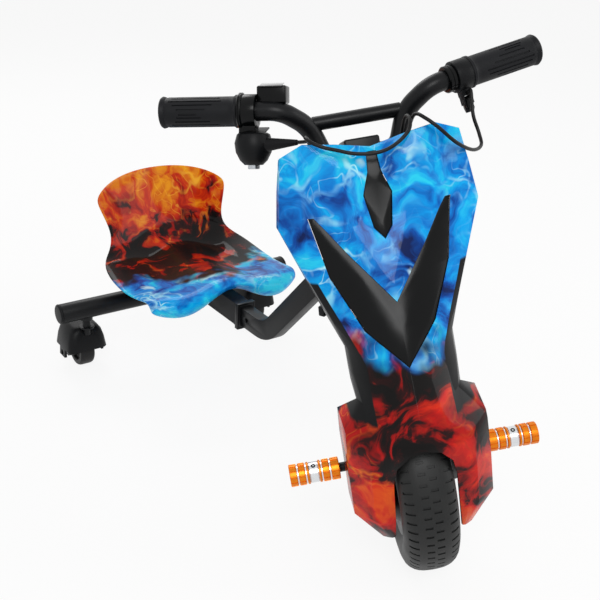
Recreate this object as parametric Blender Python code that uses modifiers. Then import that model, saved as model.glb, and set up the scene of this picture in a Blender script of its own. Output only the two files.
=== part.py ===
"""Electric drift tricycle with a driven front wheel, a moulded fairing and two hooded rear casters.

Units are metres, +Z is up, the front points along -Y and the rider's right is -X. The steered pieces
are first placed as if the wheel pointed straight ahead, then an empty on the steering axis turns them.
"""

import math

import bmesh
import bpy
from mathutils import Matrix, Vector

# Fits
GAP = 0.0003
RUNNING_GAP = 0.0004
WHEEL_BORE_GAP = 0.0004

# Steering geometry
RAKE = math.radians(21.5)
TRAIL = 0.013
STEER_TURN = math.radians(-31.0)

# Front wheel and hub motor
TYRE_RADIUS = 0.130
TYRE_WIDTH = 0.070
TYRE_BEAD_RADIUS = 0.0835
TYRE_WALL = 0.0075
WHEEL_FACETS = 36
HUB_HALF_WIDTH = 0.030
HUB_COVER_RADIUS = 0.062
HUB_COVER_STEP = 0.006
HUB_BOSS_RADIUS = 0.018
AXLE_RADIUS = 0.006
AXLE_THREAD_OUT = 0.0135
AXLE_NUT_HEIGHT = 0.010
AXLE_NUT_RADIUS = 0.0115

# Fork, measured along the steering axis from where it meets the floor
FORK_INNER_WIDTH = 0.090
FORK_PLATE = 0.008
FORK_TOP_ALONG = 0.3660
CROWN_THICKNESS = 0.012
CROWN_DEPTH = 0.056
STEERER_RADIUS = 0.0143
STEERER_WALL = 0.0025
STEERER_TOP_ALONG = 0.553

# Head tube and headset
HEAD_TUBE_RADIUS = 0.022
HEAD_TUBE_WALL = 0.003
HEAD_TUBE_LENGTH = 0.105
CUP_HEIGHT = 0.010
CUP_RADIUS = 0.025

# Foot pegs
PEG_AHEAD = 0.066
PEG_ALONG = 0.1527
PEG_INNER = 0.095
PEG_OUTER = 0.158
PEG_RADIUS = 0.014
PEG_BOLT_RADIUS = 0.006
PEG_BOLT_HEAD_RADIUS = 0.010
PEG_BOLT_HEAD = 0.005
PEG_BORE_DEPTH = 0.040

# Sliding beam
INNER_BEAM_WIDTH = 0.020
INNER_BEAM_HEIGHT = 0.032
BEAM_WALL = 0.0027
BEAM_HEIGHT = 0.160
SEAT_DATUM = 0.160
BEAM_MOUTH_Y = 0.442
BEAM_REAR_Y = 0.694
INNER_BEAM_END_Y = 0.562
BEAM_BEND_Y = 0.372
BEAM_BEND_RADIUS = 0.060
BEAM_RISE = math.radians(47.5)
COLLAR_LENGTH = 0.009
COLLAR_WALL = 0.003
ADJUSTING_HOLE_RADIUS = 0.004
ADJUSTING_HOLE_PITCH = 0.032
ADJUSTING_HOLES = 3
CLAMP_BOLT_RADIUS = 0.004

# Rear cross tube
CROSS_Y = 0.676
CROSS_HEIGHT = 0.118
CROSS_RADIUS = 0.017
CROSS_WALL = 0.0025
CROSS_HALF_LENGTH = 0.225
END_CAP_THICKNESS = 0.0045
END_CAP_PLUG = 0.012
SADDLE_LENGTH = 0.050
SADDLE_WIDTH = 0.040

# Casters
CASTER_INSET = 0.046
CASTER_TRAIL = 0.0285
CASTER_WHEEL_RADIUS = 0.030
CASTER_WHEEL_WIDTH = 0.026
CASTER_HUB_RADIUS = 0.009
CASTER_PIN_RADIUS = 0.004
CASTER_HUB_PLAY = 0.0035
HOOD_WIDTH = 0.068
HOOD_LENGTH = 0.070
HOOD_BOTTOM = 0.039
HOOD_CORNER = 0.012
HOOD_TAPER = [(0.0, 0.0), (0.45, 0.004), (0.75, 0.010), (0.93, 0.020), (1.0, 0.030)]
HOOD_TOP = 0.082
HOOD_WALL = 0.004
HOOD_ROOF = 0.018
STEM_RADIUS = 0.007
STEM_FLANGE_RADIUS = 0.013
STEM_FLANGE = 0.003
BUSH_RADIUS = 0.011
BUSH_DROP = 0.003

# Handlebar, given as (side, ahead of the axis, along the axis)
BAR_RADIUS = 0.012
CROSS_BAR_RADIUS = 0.009
CROSS_BAR_ALONG = 0.579
CROSS_BAR_AHEAD = 0.0385
CROSS_BAR_HALF = 0.059
BAR_PATH = [
    (0.000, 0.0340, 0.5330),
    (0.034, 0.0340, 0.5330),
    (0.060, 0.0390, 0.5770),
    (0.104, 0.0558, 0.6023),
    (0.236, 0.0227, 0.6250),
]
BAR_BENDS = [0.020, 0.050, 0.035]
GRIP_RADIUS = 0.0165
GRIP_FLANGE_RADIUS = 0.0185
GRIP_LENGTH = 0.099
GRIP_RIBS = 5
GRIP_GROOVE = 0.0012
BAR_END_INSET = 0.003
CLAMP_WIDTH = 0.044
CLAMP_DEPTH = 0.078
CLAMP_FORWARD = 0.015

# Throttle, display and key switch on the rider's right, switch pod on the left
HOUSING_RADIUS = 0.0205
HOUSING_LENGTH = 0.022
HOUSING_DROP = 0.0255
HOUSING_DEPTH = 0.020
DISPLAY_SIZE = (0.024, 0.021, 0.036)
DISPLAY_LIFT = 0.0195
DISPLAY_BACK = 0.008
KEY_BODY_RADIUS = 0.0235
KEY_BODY_DEPTH = 0.039
KEY_BARREL_RADIUS = 0.0075
KEY_BARREL_OUT = 0.005
KEY_BARREL_SEAT = 0.006
KEY_SHIFT = 0.006
BOOT_TIP = Vector((-0.0800, 0.1120, 0.5510))
BOOT_RADIUS = 0.0095
POD_RADIUS = 0.0195
POD_LENGTH = 0.020
POD_DROP = 0.026
POD_NECK = 0.013
ROCKER_RADIUS = 0.0065
ROCKER_DROP = 0.0135
ROCKER_PIN_RADIUS = 0.002
POD_CHEEK = 0.002

# Battery bay, measured in the steering frame
TRAY_PLATE = 0.004
TRAY_FOOT = 0.300
TRAY_TOP = 0.495
TRAY_WIDTH = 0.080
BAY_DEPTH = 0.066
CONTROLLER_HEIGHT = 0.045
CONTROLLER_WIDTH = 0.070
BATTERY_HEIGHT = 0.130
BATTERY_WIDTH = 0.080
LEAD_OUTLET_RADIUS = 0.0045
CABLE_ENTRY_SIDE = 0.0345
THROTTLE_ENTRY_AHEAD = 0.078
SWITCH_ENTRY_AHEAD = 0.060

# Cables
CABLE_RADIUS = 0.0022
LEAD_RADIUS = 0.0014
CONNECTOR_SIZE = (0.009, 0.007, 0.013)

# Seat
SEAT_SHELL = 0.0040
SEAT_BRACKET_WIDTH = 0.056
SEAT_BRACKET_LENGTH = 0.090
SEAT_BRACKET_HEIGHT = 0.024
SEAT_BRACKET_Y = 0.608
SEAT_BOLT_RADIUS = 0.004

# Fairing
FAIRING_WALL = 0.003
INLAY_SETBACK = 0.0012
INLAY_WALL = 0.0025
INLAY_GAP = 0.0005
NECK_COVER_SIDE = 0.0590
NECK_COVER_PLATE = 0.003
BRACKET_PLATE = 0.004
BRACKET_WIDTH = 0.060
BRACKET_ALONG = 0.522
BRACKET_REACH = 0.126

# Where the steering axis meets the floor, and its directions while pointing straight ahead
AXIS_FLOOR = Vector((0.0, -TRAIL, 0.0))
AXIS_UP = Vector((0.0, math.sin(RAKE), math.cos(RAKE)))
AXIS_AHEAD = Vector((0.0, -math.cos(RAKE), math.sin(RAKE)))
STEERING_TILT = Matrix.Translation(AXIS_FLOOR) @ Matrix.Rotation(-RAKE, 4, "X")

# Values that follow from the ones above
FORK_OFFSET = TYRE_RADIUS * math.sin(RAKE) - TRAIL * math.cos(RAKE)
CROWN_TOP_ALONG = FORK_TOP_ALONG + GAP + CROWN_THICKNESS
HEAD_TUBE_FOOT = CROWN_TOP_ALONG + GAP + CUP_HEIGHT + GAP
HEAD_TUBE_TOP = HEAD_TUBE_FOOT + HEAD_TUBE_LENGTH
FORK_OUTER = FORK_INNER_WIDTH / 2 + FORK_PLATE
CASTER_X = CROSS_HALF_LENGTH - CASTER_INSET
BEAM_CLEAR = GAP
CROSS_BORE = CROSS_RADIUS - CROSS_WALL
BUSH_TOP = CROSS_HEIGHT + math.sqrt(CROSS_BORE ** 2 - (BUSH_RADIUS + GAP) ** 2) - BUSH_DROP / 2
BATTERY_FOOT = TRAY_FOOT + TRAY_PLATE + GAP + CONTROLLER_HEIGHT + GAP
OUTER_BEAM_WIDTH = INNER_BEAM_WIDTH + 2 * (BEAM_CLEAR + BEAM_WALL)
OUTER_BEAM_HEIGHT = INNER_BEAM_HEIGHT + 2 * (BEAM_CLEAR + BEAM_WALL)

BLACK_TUBE = ((0.012, 0.012, 0.013), 0.35, 0.6)
BLACK_PLASTIC = ((0.010, 0.010, 0.011), 0.45, 0.0)
BLACK_GLOSS = ((0.006, 0.006, 0.007), 0.15, 0.0)
RUBBER = ((0.020, 0.020, 0.021), 0.75, 0.0)
STEEL = ((0.55, 0.56, 0.58), 0.30, 1.0)
ORANGE_ALLOY = ((0.80, 0.24, 0.02), 0.30, 0.8)
BLUE_PRINT = ((0.02, 0.22, 0.62), 0.12, 0.0)
GREY_CASE = ((0.10, 0.10, 0.11), 0.50, 0.0)


def tyre_outside():
    """Half section of the tyre's outer side as (radius, distance from the middle plane)."""
    half = TYRE_WIDTH / 2
    return [
        (TYRE_RADIUS, 0.0), (TYRE_RADIUS - 0.0008, half * 0.36), (TYRE_RADIUS - 0.0042, half * 0.66),
        (TYRE_RADIUS - 0.0120, half * 0.90), (TYRE_RADIUS - 0.0250, half),
        (TYRE_RADIUS - 0.0370, half * 0.93), (TYRE_BEAD_RADIUS, half * 0.76),
    ]


def axle_along():
    """Distance of the front axle along the steering axis that rests the turned tyre on the floor."""
    lean = abs(math.sin(RAKE) * math.sin(STEER_TURN))
    upright = math.sqrt(1 - lean ** 2)
    drop = max(radius * upright + offset * lean for radius, offset in tyre_outside())
    return (drop - FORK_OFFSET * math.sin(RAKE) * math.cos(STEER_TURN)) / math.cos(RAKE)


AXLE_ALONG = axle_along()


def straight(side, ahead, along):
    """World point, wheel straight ahead, from steering coordinates."""
    return AXIS_FLOOR + Vector((side, 0, 0)) + AXIS_AHEAD * ahead + AXIS_UP * along


def steering_local(side, ahead, along):
    """Point in the frame of the steering empty, whose Y axis points backwards."""
    return Vector((side, -ahead, along))


def clear_scene():
    """Remove every object, so that the script can be run again."""
    for obj in list(bpy.data.objects):
        bpy.data.objects.remove(obj, do_unlink=True)


def make_collection(name):
    """Collection linked to the scene."""
    collection = bpy.data.collections.get(name)
    if collection is None:
        collection = bpy.data.collections.new(name)
        bpy.context.scene.collection.children.link(collection)
    return collection


clear_scene()
PARTS = make_collection("electric_tricycle")
CUTTERS = make_collection("cutters")


def make_empty(name, matrix, parent=None):
    """Empty that marks an axis or carries a body."""
    empty = bpy.data.objects.new(name, None)
    empty.empty_display_size = 0.05
    PARTS.objects.link(empty)
    empty.parent = parent
    empty.matrix_basis = matrix
    return empty


TRICYCLE = make_empty("tricycle", Matrix())
STEERING_AXIS = make_empty("steering_axis", STEERING_TILT, TRICYCLE)
STEERING = make_empty("steering", Matrix.Rotation(STEER_TURN, 4, "Z"), STEERING_AXIS)


def finish_material(name, look):
    """Principled material of one piece."""
    colour, roughness, metallic = look
    material = bpy.data.materials.new(name + "_finish")
    material.use_nodes = True
    shader = material.node_tree.nodes["Principled BSDF"]
    shader.inputs["Base Color"].default_value = (*colour, 1.0)
    shader.inputs["Roughness"].default_value = roughness
    shader.inputs["Metallic"].default_value = metallic
    return material


def add_piece(name, data, look, carrier="frame", location=(0, 0, 0), rotation=None):
    """Link a piece or a cutter (look None) and hang it on the frame or on the steering."""
    obj = bpy.data.objects.new(name, data)
    obj.location = location
    if rotation is not None:
        obj.rotation_euler = rotation
    if look is None:
        CUTTERS.objects.link(obj)
        obj.hide_render = True
        obj.display_type = "WIRE"
    else:
        PARTS.objects.link(obj)
        data.materials.append(finish_material(name, look))
    if carrier == "frame":
        obj.parent = TRICYCLE
    else:
        obj.parent = STEERING
        if carrier == "straight":
            obj.matrix_parent_inverse = STEERING_TILT.inverted()
    return obj


def mesh_from(bm, name):
    """Mesh data from a bmesh with its faces pointing out."""
    bmesh.ops.recalc_face_normals(bm, faces=bm.faces)
    mesh = bpy.data.meshes.new(name)
    bm.to_mesh(mesh)
    bm.free()
    return mesh


def smooth_round(mesh):
    """Shade a round piece smooth between its sharp edges."""
    mesh.shade_smooth()
    mesh.set_sharp_from_angle(angle=math.radians(35))


def bevel(obj, width, segments=1):
    """Rounded edges."""
    modifier = obj.modifiers.new("edges", "BEVEL")
    modifier.width = width
    modifier.segments = segments
    modifier.limit_method = "ANGLE"
    modifier.angle_limit = math.radians(30)
    return obj


def cut(obj, cutter, operation="DIFFERENCE"):
    """Boolean with an exact solver."""
    modifier = obj.modifiers.new("cut", "BOOLEAN")
    modifier.operation = operation
    modifier.solver = "EXACT"
    modifier.object = cutter
    return obj


def add_box(name, size, centre, look, carrier="frame", rotation=None, edge=0.0):
    """Box of a given size about its centre."""
    bm = bmesh.new()
    bmesh.ops.create_cube(bm, size=1.0)
    bmesh.ops.scale(bm, vec=size, verts=bm.verts)
    obj = add_piece(name, mesh_from(bm, name), look, carrier, centre, rotation)
    if edge > 0:
        bevel(obj, edge)
    return obj


AXIS_ROTATION = {"X": (0, math.pi / 2, 0), "Y": (-math.pi / 2, 0, 0), "Z": (0, 0, 0)}


def add_rod(name, radius, length, centre, axis, look, carrier="frame", segments=24, edge=0.0):
    """Cylinder about its centre along a world or steering axis."""
    bm = bmesh.new()
    bmesh.ops.create_cone(
        bm, cap_ends=True, segments=segments, radius1=radius, radius2=radius, depth=length
    )
    mesh = mesh_from(bm, name)
    smooth_round(mesh)
    rotation = AXIS_ROTATION[axis] if isinstance(axis, str) else axis
    obj = add_piece(name, mesh, look, carrier, centre, rotation)
    if edge > 0:
        bevel(obj, edge)
    return obj


def add_turned(name, profile, centre, axis, look, carrier="frame", segments=24, ring=False):
    """Turned piece: (radius, height) points run down the outer side from the top."""
    mesh = bpy.data.meshes.new(name)
    points = [(radius, 0.0, height) for radius, height in profile]
    edges = [(i, i + 1) for i in range(len(points) - 1)]
    if ring:
        edges.append((len(points) - 1, 0))
    mesh.from_pydata(points, edges, [])
    rotation = AXIS_ROTATION[axis] if isinstance(axis, str) else axis
    obj = add_piece(name, mesh, look, carrier, centre, rotation)
    screw = obj.modifiers.new("turn", "SCREW")
    screw.axis = "Z"
    screw.steps = segments
    screw.render_steps = segments
    screw.use_merge_vertices = True
    screw.merge_threshold = 0.00005
    screw.use_smooth_shade = True
    return obj


def pipe_profile(outer, inner, bottom, top):
    """Closed section of a plain pipe."""
    return [(outer, top), (outer, bottom), (inner, bottom), (inner, top)]


def fillet_path(points, radii, steps=6):
    """Polyline whose inner corners are replaced by arcs of the given radii."""
    path = [Vector(points[0])]
    for before, corner, after, radius in zip(points, points[1:], points[2:], radii):
        corner = Vector(corner)
        back = (Vector(before) - corner).normalized()
        forth = (Vector(after) - corner).normalized()
        half = back.angle(forth) / 2
        reach = radius / math.tan(half)
        centre = corner + (back + forth).normalized() * (radius / math.sin(half))
        start = corner + back * reach - centre
        end = corner + forth * reach - centre
        sweep = start.angle(end)
        for step in range(steps + 1):
            share = step / steps
            blend = start * math.sin((1 - share) * sweep) + end * math.sin(share * sweep)
            path.append(centre + blend / math.sin(sweep))
    path.append(Vector(points[-1]))
    return path


def smooth_path(points, steps):
    """Catmull-Rom curve through the given points."""
    knots = [Vector(p) for p in points]
    knots = [2 * knots[0] - knots[1]] + knots + [2 * knots[-1] - knots[-2]]
    path = []
    for a, b, c, d in zip(knots, knots[1:], knots[2:], knots[3:]):
        for step in range(steps):
            t = step / steps
            path.append(
                0.5 * (2 * b + (c - a) * t + (2 * a - 5 * b + 4 * c - d) * t ** 2
                       + (3 * b - a - 3 * c + d) * t ** 3)
            )
    path.append(knots[-2])
    return path


def add_tube(name, path, radius, look, carrier="frame", sides=4):
    """Round bar or cable along a path, as a curve with filled caps."""
    curve = bpy.data.curves.new(name, "CURVE")
    curve.dimensions = "3D"
    curve.bevel_depth = radius
    curve.bevel_resolution = sides
    curve.use_fill_caps = True
    spline = curve.splines.new("POLY")
    spline.points.add(len(path) - 1)
    for point, place in zip(spline.points, path):
        point.co = (*place, 1.0)
    return add_piece(name, curve, look, carrier)


def as_mesh(obj):
    """The curve's evaluated shape as a welded mesh under the same name and parent."""
    bpy.context.view_layer.update()
    evaluated = obj.evaluated_get(bpy.context.evaluated_depsgraph_get())
    mesh = bpy.data.meshes.new_from_object(evaluated)
    bm = bmesh.new()
    bm.from_mesh(mesh)
    bmesh.ops.remove_doubles(bm, verts=bm.verts, dist=0.00002)
    bmesh.ops.recalc_face_normals(bm, faces=bm.faces)
    bm.to_mesh(mesh)
    bm.free()
    solid = bpy.data.objects.new("solid", mesh)
    for collection in obj.users_collection:
        collection.objects.link(solid)
    solid.parent = obj.parent
    solid.matrix_parent_inverse = obj.matrix_parent_inverse
    solid.matrix_basis = obj.matrix_basis
    solid.hide_render = obj.hide_render
    solid.display_type = obj.display_type
    name = obj.name
    bpy.data.objects.remove(obj, do_unlink=True)
    solid.name = name
    return solid


def add_plate(name, outline, thickness, centre, look, carrier="frame", rotation=None, edge=0.0):
    """Flat outline extruded evenly about its own plane."""
    curve = bpy.data.curves.new(name, "CURVE")
    curve.dimensions = "2D"
    curve.fill_mode = "BOTH"
    curve.extrude = thickness / 2
    spline = curve.splines.new("POLY")
    spline.points.add(len(outline) - 1)
    for point, (u, v) in zip(spline.points, outline):
        point.co = (u, v, 0.0, 1.0)
    spline.use_cyclic_u = True
    plate = as_mesh(add_piece(name, curve, look, carrier, centre, rotation))
    if edge > 0:
        bevel(plate, edge)
    return plate


def loft(name, sections, look, carrier="frame", hollow=None):
    """Closed solid between unlike closed sections, hollow when inner sections are given."""
    bm = bmesh.new()

    def skin(rows):
        rings = [[bm.verts.new(p) for p in row] for row in rows]
        count = len(rings[0])
        for lower, upper in zip(rings, rings[1:]):
            for i in range(count):
                j = (i + 1) % count
                bm.faces.new((lower[i], lower[j], upper[j], upper[i]))
        return rings

    outer = skin(sections)
    if hollow is None:
        bm.faces.new(outer[0])
        bm.faces.new(outer[-1])
    else:
        inner = skin(hollow)
        for outside, inside in ((outer[0], inner[0]), (outer[-1], inner[-1])):
            count = len(outside)
            for i in range(count):
                j = (i + 1) % count
                bm.faces.new((outside[i], outside[j], inside[j], inside[i]))
    mesh = mesh_from(bm, name)
    return add_piece(name, mesh, look, carrier)


def rectangle(width, height):
    """Corners of a rectangle about its centre."""
    return [(-width / 2, -height / 2), (width / 2, -height / 2), (width / 2, height / 2), (-width / 2, height / 2)]


def rounded_rectangle(width, depth, corner, steps=3):
    """Rectangle with round corners, anticlockwise."""
    outline = []
    for quarter, (sx, sy) in enumerate(((1, 1), (-1, 1), (-1, -1), (1, -1))):
        for step in range(steps + 1):
            angle = (quarter + step / steps) * math.pi / 2
            outline.append((
                sx * (width / 2 - corner) + corner * math.cos(angle),
                sy * (depth / 2 - corner) + corner * math.sin(angle),
            ))
    return outline


def sweep_sections(path, section):
    """Sections of a side-by-height outline along a path in the YZ plane."""
    rows = []
    for i, place in enumerate(path):
        before = path[max(i - 1, 0)]
        after = path[min(i + 1, len(path) - 1)]
        tangent = (after - before).normalized()
        lift = Vector((1, 0, 0)).cross(tangent)
        rows.append([place + Vector((1, 0, 0)) * u + lift * v for u, v in section])
    return rows


def beam_path():
    """Centre line of the inner beam from its rear end to the steering axis."""
    rear = Vector((0, INNER_BEAM_END_Y, BEAM_HEIGHT))
    corner = Vector((0, BEAM_BEND_Y, BEAM_HEIGHT))
    rise = Vector((0, -math.cos(BEAM_RISE), math.sin(BEAM_RISE)))
    across = AXIS_UP.cross(rise)
    away = AXIS_FLOOR - corner
    reach = AXIS_UP.cross(away).dot(across) / across.dot(across)
    return fillet_path([rear, corner, corner + rise * reach], [BEAM_BEND_RADIUS], steps=8)


def make_front_frame():
    """Bent inner beam welded to the head tube, with the two headset cups."""
    path = beam_path()
    outer = sweep_sections(path, rectangle(INNER_BEAM_WIDTH, INNER_BEAM_HEIGHT))
    bore = rectangle(INNER_BEAM_WIDTH - 2 * BEAM_WALL, INNER_BEAM_HEIGHT - 2 * BEAM_WALL)
    beam = loft("inner_beam", outer, BLACK_TUBE, hollow=sweep_sections(path, bore))
    head_middle = (HEAD_TUBE_FOOT + HEAD_TUBE_TOP) / 2
    tilt = (-RAKE, 0, 0)
    cope = add_rod("head_tube_cope", HEAD_TUBE_RADIUS + GAP, HEAD_TUBE_LENGTH * 2,
                   straight(0, 0, head_middle), tilt, None)
    cut(beam, cope)
    for number in range(ADJUSTING_HOLES):
        hole_y = BEAM_MOUTH_Y - ADJUSTING_HOLE_PITCH / 2 + number * ADJUSTING_HOLE_PITCH
        hole = add_rod("adjusting_hole_" + str(number + 1), ADJUSTING_HOLE_RADIUS, INNER_BEAM_WIDTH * 2,
                       (0, hole_y, BEAM_HEIGHT), "X", None, segments=12)
        cut(beam, hole)
    half = HEAD_TUBE_LENGTH / 2
    add_turned("head_tube", pipe_profile(HEAD_TUBE_RADIUS, HEAD_TUBE_RADIUS - HEAD_TUBE_WALL, -half, half),
               straight(0, 0, head_middle), tilt, BLACK_TUBE, ring=True)
    cup_bore = STEERER_RADIUS + RUNNING_GAP
    for name, foot in (("lower_cup", HEAD_TUBE_FOOT - GAP - CUP_HEIGHT), ("upper_cup", HEAD_TUBE_TOP + GAP)):
        add_turned(name, pipe_profile(CUP_RADIUS, cup_bore, 0, CUP_HEIGHT),
                   straight(0, 0, foot), tilt, BLACK_TUBE, ring=True)


def make_outer_beam():
    """Rear sleeve of the beam, with the saddle that sits on the cross tube."""
    path = [Vector((0, BEAM_MOUTH_Y, BEAM_HEIGHT)), Vector((0, BEAM_REAR_Y, BEAM_HEIGHT))]
    outer = sweep_sections(path, rectangle(OUTER_BEAM_WIDTH, OUTER_BEAM_HEIGHT))
    bore = rectangle(INNER_BEAM_WIDTH + 2 * BEAM_CLEAR, INNER_BEAM_HEIGHT + 2 * BEAM_CLEAR)
    beam = loft("outer_beam", outer, BLACK_TUBE, hollow=sweep_sections(path, bore))
    underside = BEAM_HEIGHT - OUTER_BEAM_HEIGHT / 2
    depth = underside - CROSS_HEIGHT
    saddle = add_box("saddle_block", (SADDLE_WIDTH, SADDLE_LENGTH / 2, depth + BEAM_WALL / 2),
                     (0, CROSS_Y, CROSS_HEIGHT + (depth + BEAM_WALL / 2) / 2), None)
    cut(saddle, add_rod("saddle_hollow", CROSS_RADIUS + GAP, SADDLE_WIDTH * 2,
                        (0, CROSS_Y, CROSS_HEIGHT), "X", None, segments=32))
    cut(beam, saddle, "UNION")
    collar_width = OUTER_BEAM_WIDTH + 2 * (GAP + COLLAR_WALL)
    collar_height = OUTER_BEAM_HEIGHT + 2 * (GAP + COLLAR_WALL)
    collar_path = [Vector((0, BEAM_MOUTH_Y, BEAM_HEIGHT)), Vector((0, BEAM_MOUTH_Y + COLLAR_LENGTH, BEAM_HEIGHT))]
    hole = rectangle(OUTER_BEAM_WIDTH + 2 * GAP, OUTER_BEAM_HEIGHT + 2 * GAP)
    loft("beam_collar", sweep_sections(collar_path, rectangle(collar_width, collar_height)), BLACK_TUBE,
         hollow=sweep_sections(collar_path, hole))


def make_clamp_bolt():
    """Set bolt from below that clamps the inner beam at the chosen length."""
    place_y = BEAM_MOUTH_Y + COLLAR_LENGTH + CLAMP_BOLT_RADIUS * 4
    tip = BEAM_HEIGHT - INNER_BEAM_HEIGHT / 2 - GAP
    under = BEAM_HEIGHT - OUTER_BEAM_HEIGHT / 2
    head = CLAMP_BOLT_RADIUS * 1.9
    profile = [
        (0, tip), (CLAMP_BOLT_RADIUS, tip), (CLAMP_BOLT_RADIUS, under - GAP),
        (head, under - GAP), (head, under - GAP - CLAMP_BOLT_RADIUS * 1.5), (0, under - GAP - CLAMP_BOLT_RADIUS * 1.5),
    ]
    add_turned("clamp_bolt", profile, (0, place_y, 0), "Z", STEEL, segments=12)
    hole = add_rod("clamp_bolt_hole", CLAMP_BOLT_RADIUS + GAP, 4 * BEAM_WALL, (0, place_y, under), "Z", None,
                   segments=12)
    cut(bpy.data.objects["outer_beam"], hole)


def make_cross_tube():
    """Cross tube with its end caps and the bushes of the two casters."""
    half = CROSS_HALF_LENGTH
    tube = add_turned("cross_tube", pipe_profile(CROSS_RADIUS, CROSS_BORE, -half, half),
                      (0, CROSS_Y, CROSS_HEIGHT), "X", BLACK_TUBE, segments=32, ring=True)
    for side, name in ((-1, "right"), (1, "left")):
        stem = (side * CASTER_X, CROSS_Y, 0)
        cut(tube, add_rod("bush_hole_" + name, BUSH_RADIUS + GAP, CROSS_RADIUS * 2,
                          (stem[0], stem[1], CROSS_HEIGHT - CROSS_RADIUS), "Z", None))
        foot = CROSS_HEIGHT - CROSS_RADIUS - BUSH_DROP
        add_turned("caster_bush_" + name, pipe_profile(BUSH_RADIUS, STEM_RADIUS + RUNNING_GAP, foot, BUSH_TOP),
                   stem, "Z", STEEL, segments=16, ring=True)
        plug = CROSS_BORE - GAP
        profile = [
            (0, END_CAP_THICKNESS), (CROSS_RADIUS - 0.002, END_CAP_THICKNESS),
            (CROSS_RADIUS + 0.0005, END_CAP_THICKNESS - 0.002), (CROSS_RADIUS + 0.0005, GAP),
            (plug, GAP), (plug, -END_CAP_PLUG), (0, -END_CAP_PLUG),
        ]
        add_turned("end_cap_" + name, profile, (side * half, CROSS_Y, CROSS_HEIGHT),
                   (0, side * math.pi / 2, 0), BLACK_PLASTIC)


def hood_sections(shrink, bottom, top):
    """Sections of the flared caster hood, drawn in by a wall thickness."""
    rows = []
    for share, narrow in HOOD_TAPER:
        width = HOOD_WIDTH - narrow - 2 * shrink
        length = HOOD_LENGTH - narrow * 0.8 - 2 * shrink
        outline = rounded_rectangle(width, length, HOOD_CORNER - shrink / 2)
        rows.append([Vector((u, v, bottom + (top - bottom) * share)) for u, v in outline])
    return rows


def make_caster(side, name):
    """Swivelling hood with its stem, pin and wheel, trailing straight back."""
    swivel = Vector((side * CASTER_X, CROSS_Y, 0))
    axle = swivel + Vector((0, CASTER_TRAIL, CASTER_WHEEL_RADIUS))
    hood_centre = Vector((axle.x, axle.y, 0))
    hood = loft("caster_hood_" + name, hood_sections(0, HOOD_BOTTOM, HOOD_TOP), BLACK_PLASTIC)
    hood.data.transform(Matrix.Translation(hood_centre - swivel))
    hood.location = swivel
    cavity = loft("hood_cavity_" + name, hood_sections(HOOD_WALL, HOOD_BOTTOM - 0.02, HOOD_TOP - HOOD_ROOF), None)
    cavity.location = hood_centre
    cut(hood, cavity)
    cut(hood, add_rod("stem_socket_" + name, STEM_RADIUS + GAP, 0.026, (swivel.x, swivel.y, HOOD_TOP), "Z", None))
    ear_depth = HOOD_BOTTOM - CASTER_WHEEL_RADIUS + CASTER_PIN_RADIUS * 2.2
    ear_drop = HOOD_BOTTOM + 0.002 - ear_depth / 2
    pin_half = HOOD_WIDTH / 2 - 0.0005
    for ear_side in (-1, 1):
        ear_x = ear_side * (HOOD_WIDTH / 2 - HOOD_WALL / 2 - 0.0003)
        ear = add_box("pin_ear_" + name + ("_out" if ear_side > 0 else "_in"),
                      (HOOD_WALL, 0.022, ear_depth), axle + Vector((ear_x, 0, ear_drop - axle.z)), None)
        cut(hood, ear, "UNION")
    cut(hood, add_rod("pin_hole_" + name, CASTER_PIN_RADIUS + GAP, HOOD_WIDTH * 1.5, axle, "X", None, segments=16))
    add_rod("caster_pin_" + name, CASTER_PIN_RADIUS, 2 * pin_half, axle, "X", STEEL, segments=16)
    socket_foot = HOOD_TOP - 0.013 + GAP
    flange_foot = HOOD_TOP + GAP
    profile = [
        (0, BUSH_TOP), (STEM_RADIUS, BUSH_TOP), (STEM_RADIUS, flange_foot + STEM_FLANGE),
        (STEM_FLANGE_RADIUS, flange_foot + STEM_FLANGE), (STEM_FLANGE_RADIUS, flange_foot),
        (STEM_RADIUS, flange_foot), (STEM_RADIUS, socket_foot), (0, socket_foot),
    ]
    add_turned("caster_stem_" + name, profile, swivel, "Z", BLACK_TUBE, segments=16)
    tread = CASTER_WHEEL_WIDTH / 2
    hub_half = HOOD_WIDTH / 2 - HOOD_WALL - CASTER_HUB_PLAY
    bore = CASTER_PIN_RADIUS + WHEEL_BORE_GAP
    half_profile = [
        (CASTER_WHEEL_RADIUS, tread * 0.55), (CASTER_WHEEL_RADIUS * 0.965, tread * 0.9),
        (CASTER_WHEEL_RADIUS * 0.88, tread), (CASTER_WHEEL_RADIUS * 0.62, tread),
        (CASTER_HUB_RADIUS * 1.25, tread * 0.75), (CASTER_HUB_RADIUS, hub_half), (bore, hub_half),
    ]
    ring = [(r, h) for r, h in reversed(half_profile)] + [(r, -h) for r, h in half_profile]
    add_turned("caster_wheel_" + name, ring, axle, "X", RUBBER, segments=20, ring=True)


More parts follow.
